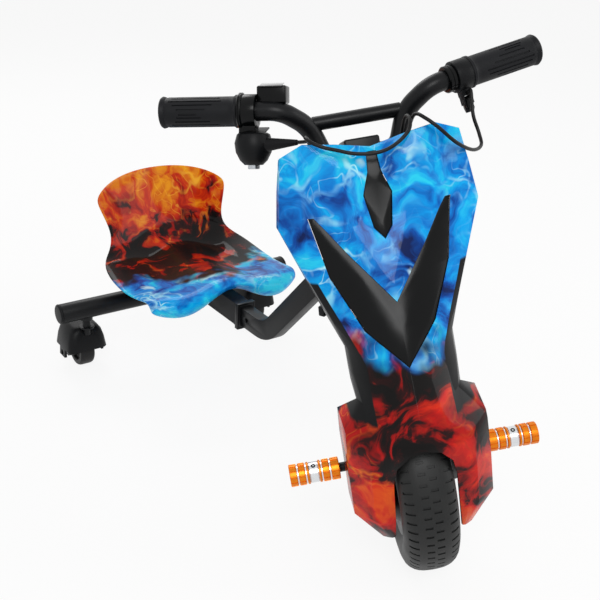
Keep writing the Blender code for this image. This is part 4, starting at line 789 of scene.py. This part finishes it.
@dataclass
class Studio:
    """Camera, pale floor and soft lights."""

    camera_place: Triple = (-0.75826, -1.072295, 0.83521)
    heading: float = math.radians(-35.77)
    dip: float = math.radians(24.82)
    roll: float = math.radians(2.68)
    lens: float = 57.576
    shift: tuple[float, float] = (0.0071, 0.00715)
    floor_size: float = 14.0
    floor_glow: float = 0.88
    world_light: float = 0.48
    aim: Triple = (0.0, -0.05, 0.25)
    softboxes: tuple[tuple[str, Triple, float, float], ...] = (
        ("key_softbox", (-1.5, -2.2, 2.4), 1.3, 42.0),
        ("fill_softbox", (1.9, -1.6, 1.5), 1.6, 17.0),
        ("back_softbox", (0.4, 2.2, 2.2), 1.4, 22.0),
    )

    def build(self) -> None:
        """Set the plain view and make the camera, the floor, the lamps and the world."""
        bpy.context.scene.view_settings.view_transform = "Standard"
        self.camera()
        self.floor()
        self.lamps()
        self.world()

    def camera(self) -> None:
        """Camera at the viewing angle that was fitted to the photograph."""
        data = bpy.data.cameras.new("camera")
        data.lens = self.lens
        data.sensor_width = 36.0
        data.shift_x, data.shift_y = self.shift
        data.clip_start = 0.01
        obj = new_object("camera", data)
        turn = Matrix.Rotation(self.heading, 4, "Z") @ Matrix.Rotation(math.pi / 2 - self.dip, 4, "X")
        obj.matrix_world = Matrix.Translation(self.camera_place) @ turn @ Matrix.Rotation(self.roll, 4, "Z")
        bpy.context.scene.camera = obj

    def floor(self) -> None:
        """Plain pale floor that keeps the object's shadow."""
        deselect()
        bpy.ops.mesh.primitive_grid_add(x_subdivisions=8, y_subdivisions=8, size=self.floor_size)
        obj = bpy.context.object
        obj.name = "studio_floor"
        # Matt pale paint that is nearly white to the eye and still takes a soft shadow
        material = bpy.data.materials.new("matt_studio_floor")
        add = empty_tree(material)
        matt = add("BsdfDiffuse", {"Color": linear("F4F4F4")})
        glow = add("Emission", {"Color": linear("FFFFFF"), "Strength": 1.0})
        share = add("Math", {"operation": "MULTIPLY", 0: self.seen(add), 1: self.floor_glow})
        add("OutputMaterial", {"Surface": add("MixShader", {0: share, 1: matt, 2: glow})})
        obj.data.materials.append(material)

    def seen(self, add: AddNode) -> Node:
        """Share of one for what the camera, a mirror or a window sees.

        Args:
            add: function that adds a node to the tree.

        Returns:
            The node of the share.
        """
        rays = add("LightPath", {}).outputs
        either = add("Math", {"operation": "MAXIMUM", 0: rays["Is Camera Ray"], 1: rays["Is Glossy Ray"]})
        return add("Math", {"operation": "MAXIMUM", 0: either, 1: rays["Is Transmission Ray"]})

    def lamps(self) -> None:
        """Three soft boxes: over the camera's left, at its right and behind the seat."""
        for name, place, size, power in self.softboxes:
            data = bpy.data.lights.new(name, "AREA")
            data.shape = "SQUARE"
            data.size = size
            data.energy = power
            turn = (Vector(self.aim) - Vector(place)).to_track_quat("-Z", "Y").to_matrix().to_4x4()
            new_object(name, data).matrix_world = Matrix.Translation(place) @ turn

    def world(self) -> None:
        """White to the eye and in mirrors, and a dimmer even light on the object."""
        world = bpy.data.worlds.new("studio")
        add = empty_tree(world)
        soft, white = (add("Background", {"Color": linear("FFFFFF"), "Strength": strength})
                       for strength in (self.world_light, 1.0))
        add("OutputWorld", {"Surface": add("MixShader", {0: self.seen(add), 1: soft, 2: white})})
        bpy.context.scene.world = world


@dataclass
class Lead:
    """Cable that hangs slack along a route drawn with the wheel straight ahead."""

    node: str
    name: str
    route: Sequence[Triple]
    radius: float = 0.0022
    steps: int = 6
    far_end: str = "object"
    stiffness: str = "medium"

    def build(self) -> None:
        path = [STEERING.straight() @ p for p in smooth_path(self.route, self.steps)]
        lead = dress(sweep(self.name, path, self.radius), CABLE_SHEATH, [self.node])
        self.pieces(path)

    def pieces(self, path: list[Vector]) -> Sequence[Obj]:
        """Separate pieces on the cable: none, since it ends in the battery."""
        return ()


@dataclass
class TailLead(Lead):
    """Short loose lead from the battery's side, and its connector."""

    mouth: tuple[float, float] = (0.0012, -0.003)
    rounding: float = 0.0003

    def pieces(self, path: list[Vector]) -> Sequence[Obj]:
        """Two-way connector housing with its open mouth.

        Args:
            path: centre line of the lead.

        Returns:
            The connector alone.
        """
        obj = carried("tail_connector", "lead_connector")
        down = (path[-1] - path[-2]).normalized()
        sink(obj, lambda middle, normal: normal.dot(down) > 0.9, self.mouth)
        soften(obj, self.rounding)
        return [dress(obj, GRAINED_ABS, ["tail_connector"])]


@dataclass
class Cables:
    """Loose battery lead, and the throttle and switch cables between the bar and the battery's top."""

    tail: Sequence[Triple] = (
        (-0.0470, 0.0760, 0.4250), (-0.0600, 0.0700, 0.4235), (-0.0720, 0.0620, 0.4150),
        (-0.0790, 0.0560, 0.3980), (-0.0815, 0.0530, 0.3780), (-0.0825, 0.0520, 0.3600))
    throttle: Sequence[Triple] = (
        (-0.0795, 0.1117, 0.5511), (-0.0727, 0.1068, 0.5520), (-0.0690, 0.1000, 0.5545),
        (-0.0690, 0.0905, 0.5600), (-0.0710, 0.0800, 0.5655), (-0.0725, 0.0680, 0.5695),
        (-0.0680, 0.0580, 0.5670), (-0.0560, 0.0520, 0.5610), (-0.0400, 0.0500, 0.5550),
        (-0.0230, 0.0480, 0.5490), (-0.0030, 0.0460, 0.5460), (0.0150, 0.0450, 0.5480),
        (0.0305, 0.0460, 0.5550), (0.0430, 0.0510, 0.5640), (0.0475, 0.0610, 0.5720),
        (0.0460, 0.0750, 0.5730), (0.0430, 0.0860, 0.5580), (0.0390, 0.0930, 0.5300),
        (0.0345, 0.0962, 0.4900), (0.0345, 0.0904, 0.4754))
    switch: Sequence[Triple] = (
        (0.1367, 0.1504, 0.5638), (0.1376, 0.1470, 0.5651), (0.1391, 0.1416, 0.5672),
        (0.1365, 0.1270, 0.5425), (0.1401, 0.1180, 0.5220), (0.1379, 0.1020, 0.5121),
        (0.1205, 0.0740, 0.5190), (0.0966, 0.0500, 0.5400), (0.0768, 0.0490, 0.5620),
        (0.0640, 0.0570, 0.5730), (0.0560, 0.0730, 0.5740), (0.0510, 0.0880, 0.5560),
        (0.0450, 0.0990, 0.5250), (0.0345, 0.1129, 0.4834), (0.0345, 0.1072, 0.4688))

    def build(self) -> None:
        """Lay the three cables."""
        TailLead("tail_lead", "loose_lead", self.tail, 0.0014, 4, "connector", "limp").build()
        Lead("throttle_cable", "throttle_lead", self.throttle).build()
        Lead("switch_cable", "switch_lead", self.switch).build()


@dataclass
class Fairing:
    """Printed shell with its two black let-in panels, side covers and bracket."""

    edge: float = 0.0012
    horn_side: float = 0.100
    horn_back: float = 0.0745
    horn_foot: float = 0.535
    horn_drop: float = 0.45
    side_weight: float = 0.9
    middle_back: float = 0.09
    least_ahead: float = 0.02
    outside_from: float = 0.12

    def build(self) -> None:
        """Build and dress every piece of the fairing."""
        self.skin()
        carry("steering", (("v_panel", "chevron_panel", 0.0008, POLISHED_ABS),
                           ("centre_panel", "centre_panel_insert", 0.0008, POLISHED_ABS)), 25.0)
        carry("steering", (("neck_cover_", "side_cover_", 0.0008, GRAINED_ABS),
                           ("fairing_bracket", "shell_bracket", 0.0006, POWDER_COAT)))

    def skin(self) -> None:
        """Printed outside of the shell, with bare plastic inside and on the cut edges."""
        obj = carried("fairing_shell", "printed_shell", self.edge, 0.5)
        upright = STEERING.straight().inverted()
        for vertex in obj.data.vertices:
            place = upright @ vertex.co
            if abs(place.x) > self.horn_side and place.y > self.horn_back and place.z > self.horn_foot:
                place.z -= (place.z - self.horn_foot) * self.horn_drop
                vertex.co = STEERING.straight() @ place
        dress(obj, FAIRING_PRINT, ["fairing_shell"], angle=28.0)
        obj.data.materials.append(BARE_ABS.material())
        for face in obj.data.polygons:
            middle = upright @ face.center
            normal = upright.to_3x3() @ face.normal
            ahead = min(middle.y - self.middle_back, -self.least_ahead)
            outward = Vector((middle.x * self.side_weight, ahead, 0.0)).normalized()
            face.material_index = 0 if normal.dot(outward) > self.outside_from else 1


@dataclass
class Seat:
    """Printed bucket seat on its bracket."""

    lip: float = 0.0012
    quad_angle: float = math.radians(60)

    def build(self) -> None:
        """Build the shell and carry its bracket and bolt."""
        obj = carried("seat_shell", "printed_seat_shell", 0.0, 0.0)
        with editing(obj):
            bpy.ops.mesh.tris_convert_to_quads(face_threshold=self.quad_angle, shape_threshold=self.quad_angle)
        soften(obj, self.lip, 50.0)
        finish_mesh(obj, "SUBSURF", {"levels": 1, "render_levels": 1})
        dress(obj, SEAT_PRINT, ["seat_shell"], "rear_frame", angle=70.0)
        carry("rear_frame", (("seat_bracket", "seat_channel", 0.0012, POWDER_COAT),
                             ("seat_bolt", "seat_fixing_bolt", 0.0004, ZINC_PLATE)))


@dataclass
class FrontWheel:
    """Treaded tyre on the drum of the hub motor."""

    radius: float = 0.130
    width: float = 0.070
    bead: float = 0.0835
    wall: float = 0.0075
    crown: Sequence[tuple[float, float]] = (
        (0.0, 0.0), (0.0003, 0.18), (0.0008, 0.36), (0.0021, 0.52), (0.0042, 0.66), (0.0077, 0.80),
        (0.0120, 0.90), (0.0182, 0.97), (0.0250, 1.0), (0.0315, 0.98), (0.0370, 0.93))
    pitches: int = 60
    slot_insets: tuple[tuple[float, float], ...] = ((0.0017, 0.0), (0.0002, -0.0014))
    slot_band: float = 0.016
    middle_row: float = 0.36
    outer_row: tuple[float, float] = (0.52, 0.90)
    drum_half: float = 0.030
    cover_lift: float = 0.006
    cover_radius: float = 0.062
    boss_radius: float = 0.018
    boss_out: float = 0.0438
    bore: float = 0.0064
    cover_screws: int = 6
    screw: Profile = ((0.0, 0.0), (0.0014, 0.0), (0.0014, 0.0016), (0.0030, 0.0016), (0.0034, 0.0012),
                      (0.0034, -0.001), (0.0, -0.001))

    def build(self) -> None:
        """Build the tyre, the motor and the screws of its covers."""
        self.tyre()
        self.motor()
        self.screws()

    @property
    def place(self) -> Matrix:
        """Matrix of a turned piece on the front axle."""
        low, high = (Vector(corner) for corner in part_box("front_axle"))
        return facing((low + high) / 2, STEERING.local().to_3x3() @ Vector((1, 0, 0)))

    def slotted(self, middle: Vector, normal: Vector) -> bool:
        """Whether a face of the crown lies in a slot of its row.

        Args:
            middle: middle of the face.
            normal: its normal, not used.

        Returns:
            Whether it is cut.
        """
        index = int(round(math.atan2(middle.y, middle.x) * self.pitches / math.pi - 0.5))
        reach = abs(middle.z) / (self.width / 2)
        row = 0 if middle.z > 0 else 1
        if middle.xy.length < self.radius - self.slot_band:
            return False
        if reach < self.middle_row:
            return index % 2 == row
        return self.outer_row[0] < reach < self.outer_row[1] and index % 2 == 1 - row

    def tyre(self) -> None:
        """Turn the tyre and cut the two rows of short slots along its crown."""
        half = self.width / 2
        outside = [(self.radius - drop, half * share) for drop, share in self.crown]
        outside += [(self.bead + 0.0040, half * 0.84), (self.bead, half * 0.76)]
        inside = [(self.bead, half * 0.58), (self.radius - 0.0260, half - self.wall)]
        top = [(self.radius - self.wall, 0.0)]
        ring = mirrored(outside) + [(r, -h) for r, h in inside] + top + inside[::-1]
        obj = lathe("treaded_tyre", ring, self.pitches * 2, ring=True)
        sink(obj, self.slotted, *self.slot_insets)
        dress(settle(obj, self.place), TYRE_RUBBER, ["front_tyre"], "front_wheel", angle=30.0)

    def motor(self) -> None:
        """Turn the drum with its stepped covers and ribbed flanges."""
        drum, flat, edge, boss = self.bead - GAP, self.drum_half, self.cover_radius, self.boss_radius
        cover = flat + self.cover_lift
        half = [
            (drum, flat - 0.002), (drum - 0.0015, flat), (edge + 0.009, flat), (edge + 0.006, flat - 0.0012),
            (edge + 0.003, flat), (edge, cover - 0.001), (edge - 0.001, cover), (edge * 0.62, cover),
            (edge * 0.60, cover - 0.0015), (edge * 0.52, cover - 0.0015), (edge * 0.50, cover), (boss, cover),
            (boss * 0.94, cover + 0.004), (boss * 0.8, self.boss_out), (self.bore, self.boss_out)]
        obj = lathe("hub_motor_drum", mirrored(half), 96, ring=True)
        dress(settle(obj, self.place), POWDER_COAT, ["hub_motor"], "front_wheel", angle=30.0)

    def screws(self) -> None:
        """Ring of socket screws in each motor cover, modelled once and copied."""
        first = lathe("cover_screw", self.screw, 16)
        out = Matrix.Translation((self.cover_radius * 0.82, 0.0, self.drum_half + self.cover_lift))
        for side in Side:
            flip = Matrix.Rotation(math.pi if side is Side.RIGHT else 0.0, 4, "X")
            for index in range(self.cover_screws):
                obj = copied(first, f"cover_screw_{side.word}_{index}")
                spin = Matrix.Rotation(math.tau * index / self.cover_screws, 4, "Z")
                dress(settle(obj, self.place @ flip @ spin @ out), ZINC_PLATE, body="front_wheel")
        bpy.data.objects.remove(first)


@dataclass
class Fork:
    """Plate fork with its crown, axle nuts and head bearing."""

    def build(self) -> None:
        """Carry the fork's plates and turned parts with rounded edges."""
        carry("steering", (
            ("fork_crown", "fork_crown_plate", 0.0012, POWDER_COAT),
            ("fork_leg_", "fork_plate_", 0.0010, POWDER_COAT),
            ("front_axle", "motor_axle", 0.0004, ZINC_PLATE),
            ("axle_nut_", "domed_nut_", 0.0008, ZINC_PLATE),
            ("steerer_tube", "steerer", 0.0003, POWDER_COAT),
            ("stem_clamp", "stem_clamp_block", 0.0012, POWDER_COAT),
        ))


@dataclass
class FootPeg:
    """Turned alloy peg with dyed orange rings, on one side."""

    side: Side
    ahead: float = 0.066
    along: float = 0.1527
    inner: float = 0.095
    outer: float = 0.158
    radius: float = 0.014
    core: float = 0.0122
    knurl: float = 0.0008
    band: tuple[float, float] = (0.0252, 0.0364)
    bolt: float = 0.006
    bore_depth: float = 0.040
    groove: tuple[float, float] = (0.0002, -0.0007)
    groove_step: float = 7.5
    rings: Sequence[tuple[float, float]] = (
        (0.0000, 0.0095), (0.0112, 0.0200), (0.0216, 0.0248), (0.0368, 0.0400), (0.0416, 0.0505), (0.0522, 0.0630))
    grub: Profile = ((0.0, -0.0006), (0.0012, -0.0006), (0.0014, 0.0004), (0.0026, 0.0004), (0.0030, 0.0),
                     (0.0030, -0.004), (0.0, -0.004))

    def build(self) -> None:
        """Build the peg and carry its bolt."""
        self.peg()
        for index in range(len(self.rings)):
            self.ring(index)
        self.grub_screw()
        word = self.side.word
        carry("steering", (("peg_bolt_" + word, "peg_shaft_" + word, 0.0004, POWDER_COAT),))

    @property
    def place(self) -> Matrix:
        """Matrix of a turned piece along the peg."""
        return STEERING.aligned(self.ahead, self.along, self.side)

    def peg(self) -> None:
        """Bright core with a raised middle."""
        core, tip, foot = self.core, self.outer - 0.0004, self.inner + 0.0004
        bore, end = self.bolt + GAP, self.inner + self.bore_depth
        high, low = (self.outer - place for place in self.band)
        profile = [(0.0, tip), (core - 0.002, tip), (core, tip - 0.001), (core, high),
                   (core + self.knurl, high - 0.0006), (core + self.knurl, low + 0.0006), (core, low),
                   (core, foot + 0.001), (core - 0.001, foot), (bore, foot), (bore, end), (0.0, end)]
        obj = lathe("peg_core_" + self.side.word, profile, 64)
        dress(settle(obj, self.place), TURNED_ALLOY, ["foot_peg_" + self.side.word], angle=30.0)

    def grooved(self, middle: Vector, normal: Vector) -> bool:
        """Whether a face of a ring's rim lies in one of its grooves."""
        turn = int(math.degrees(math.atan2(middle.y, middle.x)) / self.groove_step + 96)
        return middle.xy.length > self.radius - 0.0006 and turn % 4 == 0

    def ring(self, index: int) -> None:
        """Orange ring with grooves cut across its rim.

        Args:
            index: number of the ring from the outer end.
        """
        high, low = (self.outer - place for place in self.rings[index])
        edge = min(0.0008, (high - low) / 4)
        rim, inside = self.radius, self.core - 0.0004
        profile = [(inside, high), (rim - edge, high), (rim, high - edge), (rim, low + edge), (rim - edge, low),
                   (inside, low)]
        obj = lathe(f"peg_ring_{self.side.word}_{index}", profile, 48, ring=True)
        if high - low > 0.006:
            sink(obj, self.grooved, self.groove)
        dress(settle(obj, self.place), ORANGE_ANODISE, angle=30.0)

    def grub_screw(self) -> None:
        """Dark socket screw let into the bright middle, facing down and ahead."""
        obj = lathe("peg_grub_screw_" + self.side.word, self.grub, 20)
        out = Vector((-0.80 * self.side.value, -0.60, 0.0)).normalized()
        middle = Vector((0.0, 0.0, self.outer - sum(self.band) / 2))
        seat = facing(middle + out * (self.core + self.knurl - 0.0001), out)
        dress(settle(obj, self.place @ seat), POLISHED_ABS)


@dataclass
class Handlebar:
    """Bent bar with its cross-bar and ribbed grips."""

    radius: float = 0.012
    brace_radius: float = 0.009
    brace_half: float = 0.055
    brace_ahead: float = 0.0385
    brace_along: float = 0.579
    corners: Sequence[Triple] = (
        (0.0, 0.0340, 0.5330), (0.045, 0.0340, 0.5330), (0.060, 0.0395, 0.5770), (0.092, 0.0588, 0.6002),
        (0.236, 0.0227, 0.6250))
    bends: tuple[float, ...] = (0.020, 0.050, 0.035)
    grip_radius: float = 0.0183
    flange_radius: float = 0.0200
    flange: float = 0.004
    grip_length: float = 0.099
    tip_inset: float = 0.003
    grip_facets: int = 60
    grip_rows: int = 28
    fans: int = 3
    groove: tuple[float, float] = (0.0003, -0.0011)

    @property
    def ribbed(self) -> tuple[float, float]:
        """Heights between which the grip has its grooves."""
        return self.flange + 0.007, self.grip_length - 0.010

    def corner(self, side: Side, index: int) -> Vector:
        """Corner of the bar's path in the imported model's frame."""
        x, ahead, along = self.corners[index]
        return STEERING.point(side.value * x, ahead, along)

    def line(self, side: Side, inward: float) -> Vector:
        """Point on the straight end of the bar, a distance in from its tip."""
        tip = self.corner(side, 4)
        return tip + (self.corner(side, 3) - tip).normalized() * inward

    def outward(self, side: Side) -> Vector:
        """Direction outwards along the straight end."""
        return (self.line(side, 0.0) - self.line(side, 1.0)).normalized()

    def build(self) -> None:
        """Build the bar, its brace and both grips."""
        right, left = ([self.corner(side, i) for i in (1, 2, 3)] + [self.line(side, self.tip_inset)]
                       for side in Side)
        path = fillet_path(right[::-1] + left, self.bends[::-1] + self.bends)
        dress(sweep("bent_bar", path, self.radius, True), POWDER_COAT, ["handlebar"])
        ends = [STEERING.point(side.value * self.brace_half, self.brace_ahead, self.brace_along) for side in Side]
        dress(sweep("bar_brace", ends, self.brace_radius, True), POWDER_COAT, ["cross_bar"])
        for side in Side:
            self.grip(side)

    def grooved(self, middle: Vector, normal: Vector) -> bool:
        """Whether a face lies in one of the grooves, which grow shorter away from a fan's middle.

        Args:
            middle: middle of the face.
            normal: its normal, not used.

        Returns:
            Whether it is cut.
        """
        fan = self.grip_facets // self.fans
        index = int(round(math.atan2(middle.y, middle.x) / math.tau * self.grip_facets - 0.5)) % fan
        foot, top = self.ribbed
        share = (middle.z - foot) / (top - foot)
        off = abs(index - fan // 2)
        outside = middle.xy.length > self.grip_radius - 0.0005
        return outside and index % 3 == 0 and 0.06 + 0.045 * off < share < 0.97 - 0.02 * off

    def grip(self, side: Side) -> None:
        """Rubber grip with a rim at each end and lengthwise grooves that end in a point.

        Args:
            side: side of the bar.
        """
        length, rim, wide, flange = self.grip_length, self.grip_radius, self.flange_radius, self.flange
        foot, top = self.ribbed
        bore, end = self.radius + 0.0002, length - self.tip_inset + 2 * GAP
        profile = [(0.0, length), (rim - 0.003, length), (rim, length - 0.001), (rim + 0.0012, length - 0.003),
                   (rim + 0.0006, length - 0.0055), (rim - 0.0006, length - 0.0075)]
        profile += [(rim, top + (foot - top) * row / self.grip_rows) for row in range(self.grip_rows + 1)]
        profile += [(rim, flange + 0.002), (wide - 0.0006, flange), (wide, flange - 0.0006), (wide, 0.0006),
                    (wide - 0.0006, 0.0), (bore, 0.0), (bore, end), (0.0, end)]
        obj = lathe("grooved_grip_" + side.word, profile, self.grip_facets)
        sink(obj, self.grooved, self.groove)
        place = facing(self.line(side, length), self.outward(side))
        node, body = ("throttle_grip", "throttle") if side is Side.RIGHT else ("left_grip", "steering")
        dress(settle(obj, place), GRIP_RUBBER, [node], body, angle=30.0)


@dataclass
class Controls:
    """Throttle housing with its display and key switch, and the switch pod."""

    bar: Handlebar
    housing_length: float = 0.022
    housing_drop: float = 0.0255
    display_size: Triple = (0.024, 0.021, 0.036)
    display_lift: float = 0.0195
    display_back: float = 0.008
    pod_length: float = 0.020
    flange_size: Triple = (0.030, 0.0022, 0.033)

    def build(self) -> None:
        """Carry the housings with rounded edges and add the window, the collars and the flange."""
        carry("steering", (
            ("throttle_housing", "throttle_case", 0.0010, POLISHED_ABS),
            ("display_box", "display_case", 0.0008, POLISHED_ABS),
            ("key_body", "key_switch_case", 0.0008, GRAINED_ABS),
            ("switch_pod", "switch_case", 0.0008, GRAINED_ABS),
        ))
        carry("key", (("key_barrel", "key_lock_barrel", 0.0003, ZINC_PLATE),))
        carry("mode", (("mode_rocker", "mode_lever", 0.0006, POLISHED_ABS),))
        grip_end = self.bar.grip_length + GAP
        self.window()
        self.collar("throttle_collar", Side.RIGHT, grip_end, 0.0225, 0.0055)
        self.collar("switch_collar", Side.LEFT, grip_end + GAP + self.pod_length, 0.0165, 0.011)
        self.flange()

    def collar(self, name: str, side: Side, inward: float, radius: float, length: float) -> None:
        """Clamp ring round the bar with a shallow groove about its rim.

        Args:
            name: name of the new piece.
            side: side of the bar.
            inward: distance of its outer face from the bar's tip.
            radius: its outside radius.
            length: its length along the bar.
        """
        inside, edge, low = self.bar.radius + 0.0004, 0.0012, radius - 0.0008
        profile = [(inside, 0.0), (radius - edge, 0.0), (radius, -edge), (radius, -length * 0.45),
                   (low, -length * 0.5), (low, -length * 0.6), (radius, -length * 0.65), (radius, edge - length),
                   (radius - edge, -length), (inside, -length)]
        obj = lathe(name, profile, 64, ring=True)
        place = facing(self.bar.line(side, inward), self.bar.outward(side))
        dress(settle(obj, place), POLISHED_ABS, angle=30.0)

    def on_bar(self, inward: float, sideways: float, up: float) -> Matrix:
        """Matrix of a block on the bar's right end, upright and in line with the bar.

        Args:
            inward: distance of its middle from the bar's tip.
            sideways: distance of its middle to the side of the bar's axis.
            up: distance of its middle over the bar's axis.

        Returns:
            The matrix.
        """
        outward = self.bar.outward(Side.RIGHT)
        upward = (Vector((0, 0, 1)) - outward * outward.z).normalized()
        turn = Matrix((upward.cross(outward), upward, outward)).transposed().to_4x4()
        return Matrix.Translation(self.bar.line(Side.RIGHT, inward)) @ turn @ Matrix.Translation(
            (sideways, up, 0.0))

    def flange(self) -> None:
        """Thin plate between the throttle housing's neck and the key switch."""
        inward = self.bar.grip_length + GAP + self.housing_length / 2 + 0.005
        obj = block("neck_flange", self.flange_size, 0.0008)
        dress(settle(obj, self.on_bar(inward, 0.0, 0.0012 - self.housing_drop)), GRAINED_ABS)

    def window(self) -> None:
        """Smoked window on the rider's face of the display."""
        inward = self.bar.grip_length + self.housing_length + 2 * GAP + self.display_size[2] / 2
        obj = block("display_window", (self.display_size[0] * 0.72, 0.0012, self.display_size[2] * 0.78), 0.0004)
        place = self.on_bar(inward, -self.display_back, self.display_lift + self.display_size[1] / 2)
        dress(settle(obj, place), DISPLAY_WINDOW)


@dataclass
class Chassis:
    """Sliding beam, head tube and cross tube."""

    def build(self) -> None:
        """Carry the frame's pieces with rounded edges."""
        carry("front_frame", (
            ("inner_beam", "sliding_beam", 0.0016, POWDER_COAT),
            ("head_tube", "head_tube_sleeve", 0.0006, POWDER_COAT),
            ("lower_cup", "lower_bearing_cup", 0.0006, POLISHED_ABS),
            ("upper_cup", "upper_bearing_cup", 0.0006, POLISHED_ABS),
        ))
        carry("rear_frame", (
            ("outer_beam", "receiving_beam", 0.0016, POWDER_COAT),
            ("beam_collar", "beam_end_collar", 0.0006, POWDER_COAT),
            ("clamp_bolt", "length_lock_bolt", 0.0005, ZINC_PLATE),
            ("cross_tube", "rear_cross_tube", 0.0006, POWDER_COAT),
            ("end_cap_", "tube_end_plug_", 0.0008, GRAINED_ABS),
            ("caster_bush_", "swivel_bush_", 0.0004, POWDER_COAT),
        ))


@dataclass
class Caster:
    """Hooded swivel caster on one side."""

    side: Side
    x: float = 0.179
    axle_y: float = 0.378875
    radius: float = 0.030
    width: float = 0.026
    hub_radius: float = 0.009
    hub_half: float = 0.0265
    pin: float = 0.0044
    flare: float = 0.09

    def build(self) -> None:
        """Flare the hood, carry the stem and the pin and turn the wheel."""
        word = self.side.word
        body = "caster_" + word
        hood = carried("caster_hood_" + word, "wheel_hood_" + word, 0.0014)
        self.spread(hood)
        dress(hood, GRAINED_ABS, ["caster_hood_" + word], body)
        carry(body, (("caster_stem_" + word, "swivel_stem_" + word, 0.0005, POWDER_COAT),
                     ("caster_pin_" + word, "roller_pin_" + word, 0.0005, ZINC_PLATE)))
        self.wheel()

    def spread(self, hood: Obj) -> None:
        """Flare the hood's skirt sideways, most at its foot.

        Args:
            hood: the hood.
        """
        heights = [vertex.co.z for vertex in hood.data.vertices]
        low, high = min(heights), max(heights)
        middle = self.side.value * self.x
        for vertex in hood.data.vertices:
            share = (high - vertex.co.z) / (high - low)
            vertex.co.x = middle + (vertex.co.x - middle) * (1.0 + self.flare * share)

    def wheel(self) -> None:
        """Roller with a rounded tread, a recessed web and its hub."""
        radius, tread, hub, word = self.radius, self.width / 2, self.hub_radius, self.side.word
        half = [
            (radius, 0.0), (radius, tread * 0.45), (radius * 0.990, tread * 0.72), (radius * 0.955, tread * 0.90),
            (radius * 0.90, tread), (radius * 0.70, tread), (radius * 0.66, tread * 0.93),
            (radius * 0.63, tread * 0.60), (hub * 1.35, tread * 0.60), (hub * 1.15, tread * 0.75),
            (hub, self.hub_half), (self.pin, self.hub_half)]
        obj = lathe("roller_" + word, mirrored(half), 64, ring=True)
        place = Matrix.Translation((self.side.value * self.x, self.axle_y, radius))
        place @= Matrix.Rotation(math.pi / 2, 4, "Y")
        dress(settle(obj, place), CASTER_URETHANE, ["caster_wheel_" + word], "roller_" + word, angle=32.0)


@dataclass
class BatteryBay:
    """Tray behind the fairing with the controller and the battery."""

    def build(self) -> None:
        """Carry the bay's pieces with rounded edges."""
        carry("steering", (
            ("battery_tray", "battery_shelf", 0.0008, POWDER_COAT),
            ("controller", "motor_controller", 0.0015, CAST_ALUMINIUM),
            ("battery_pack", "sleeved_battery", 0.0030, SHRINK_SLEEVE),
        ))


def main() -> None:
    """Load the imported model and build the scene, piece by piece."""
    logging.basicConfig(level=logging.INFO, format="%(message)s")
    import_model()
    bar = Handlebar()
    pegs = [FootPeg(side) for side in Side]
    casters = [Caster(side) for side in Side]
    for part in (Studio(), Cables(), Fairing(), Seat(), FrontWheel(), Fork(), *pegs, bar, Controls(bar),
                 Chassis(), *casters, BatteryBay()):
        part.build()
        LOG.info("%s built", type(part).__name__)


if __name__ == "__main__":
    main()
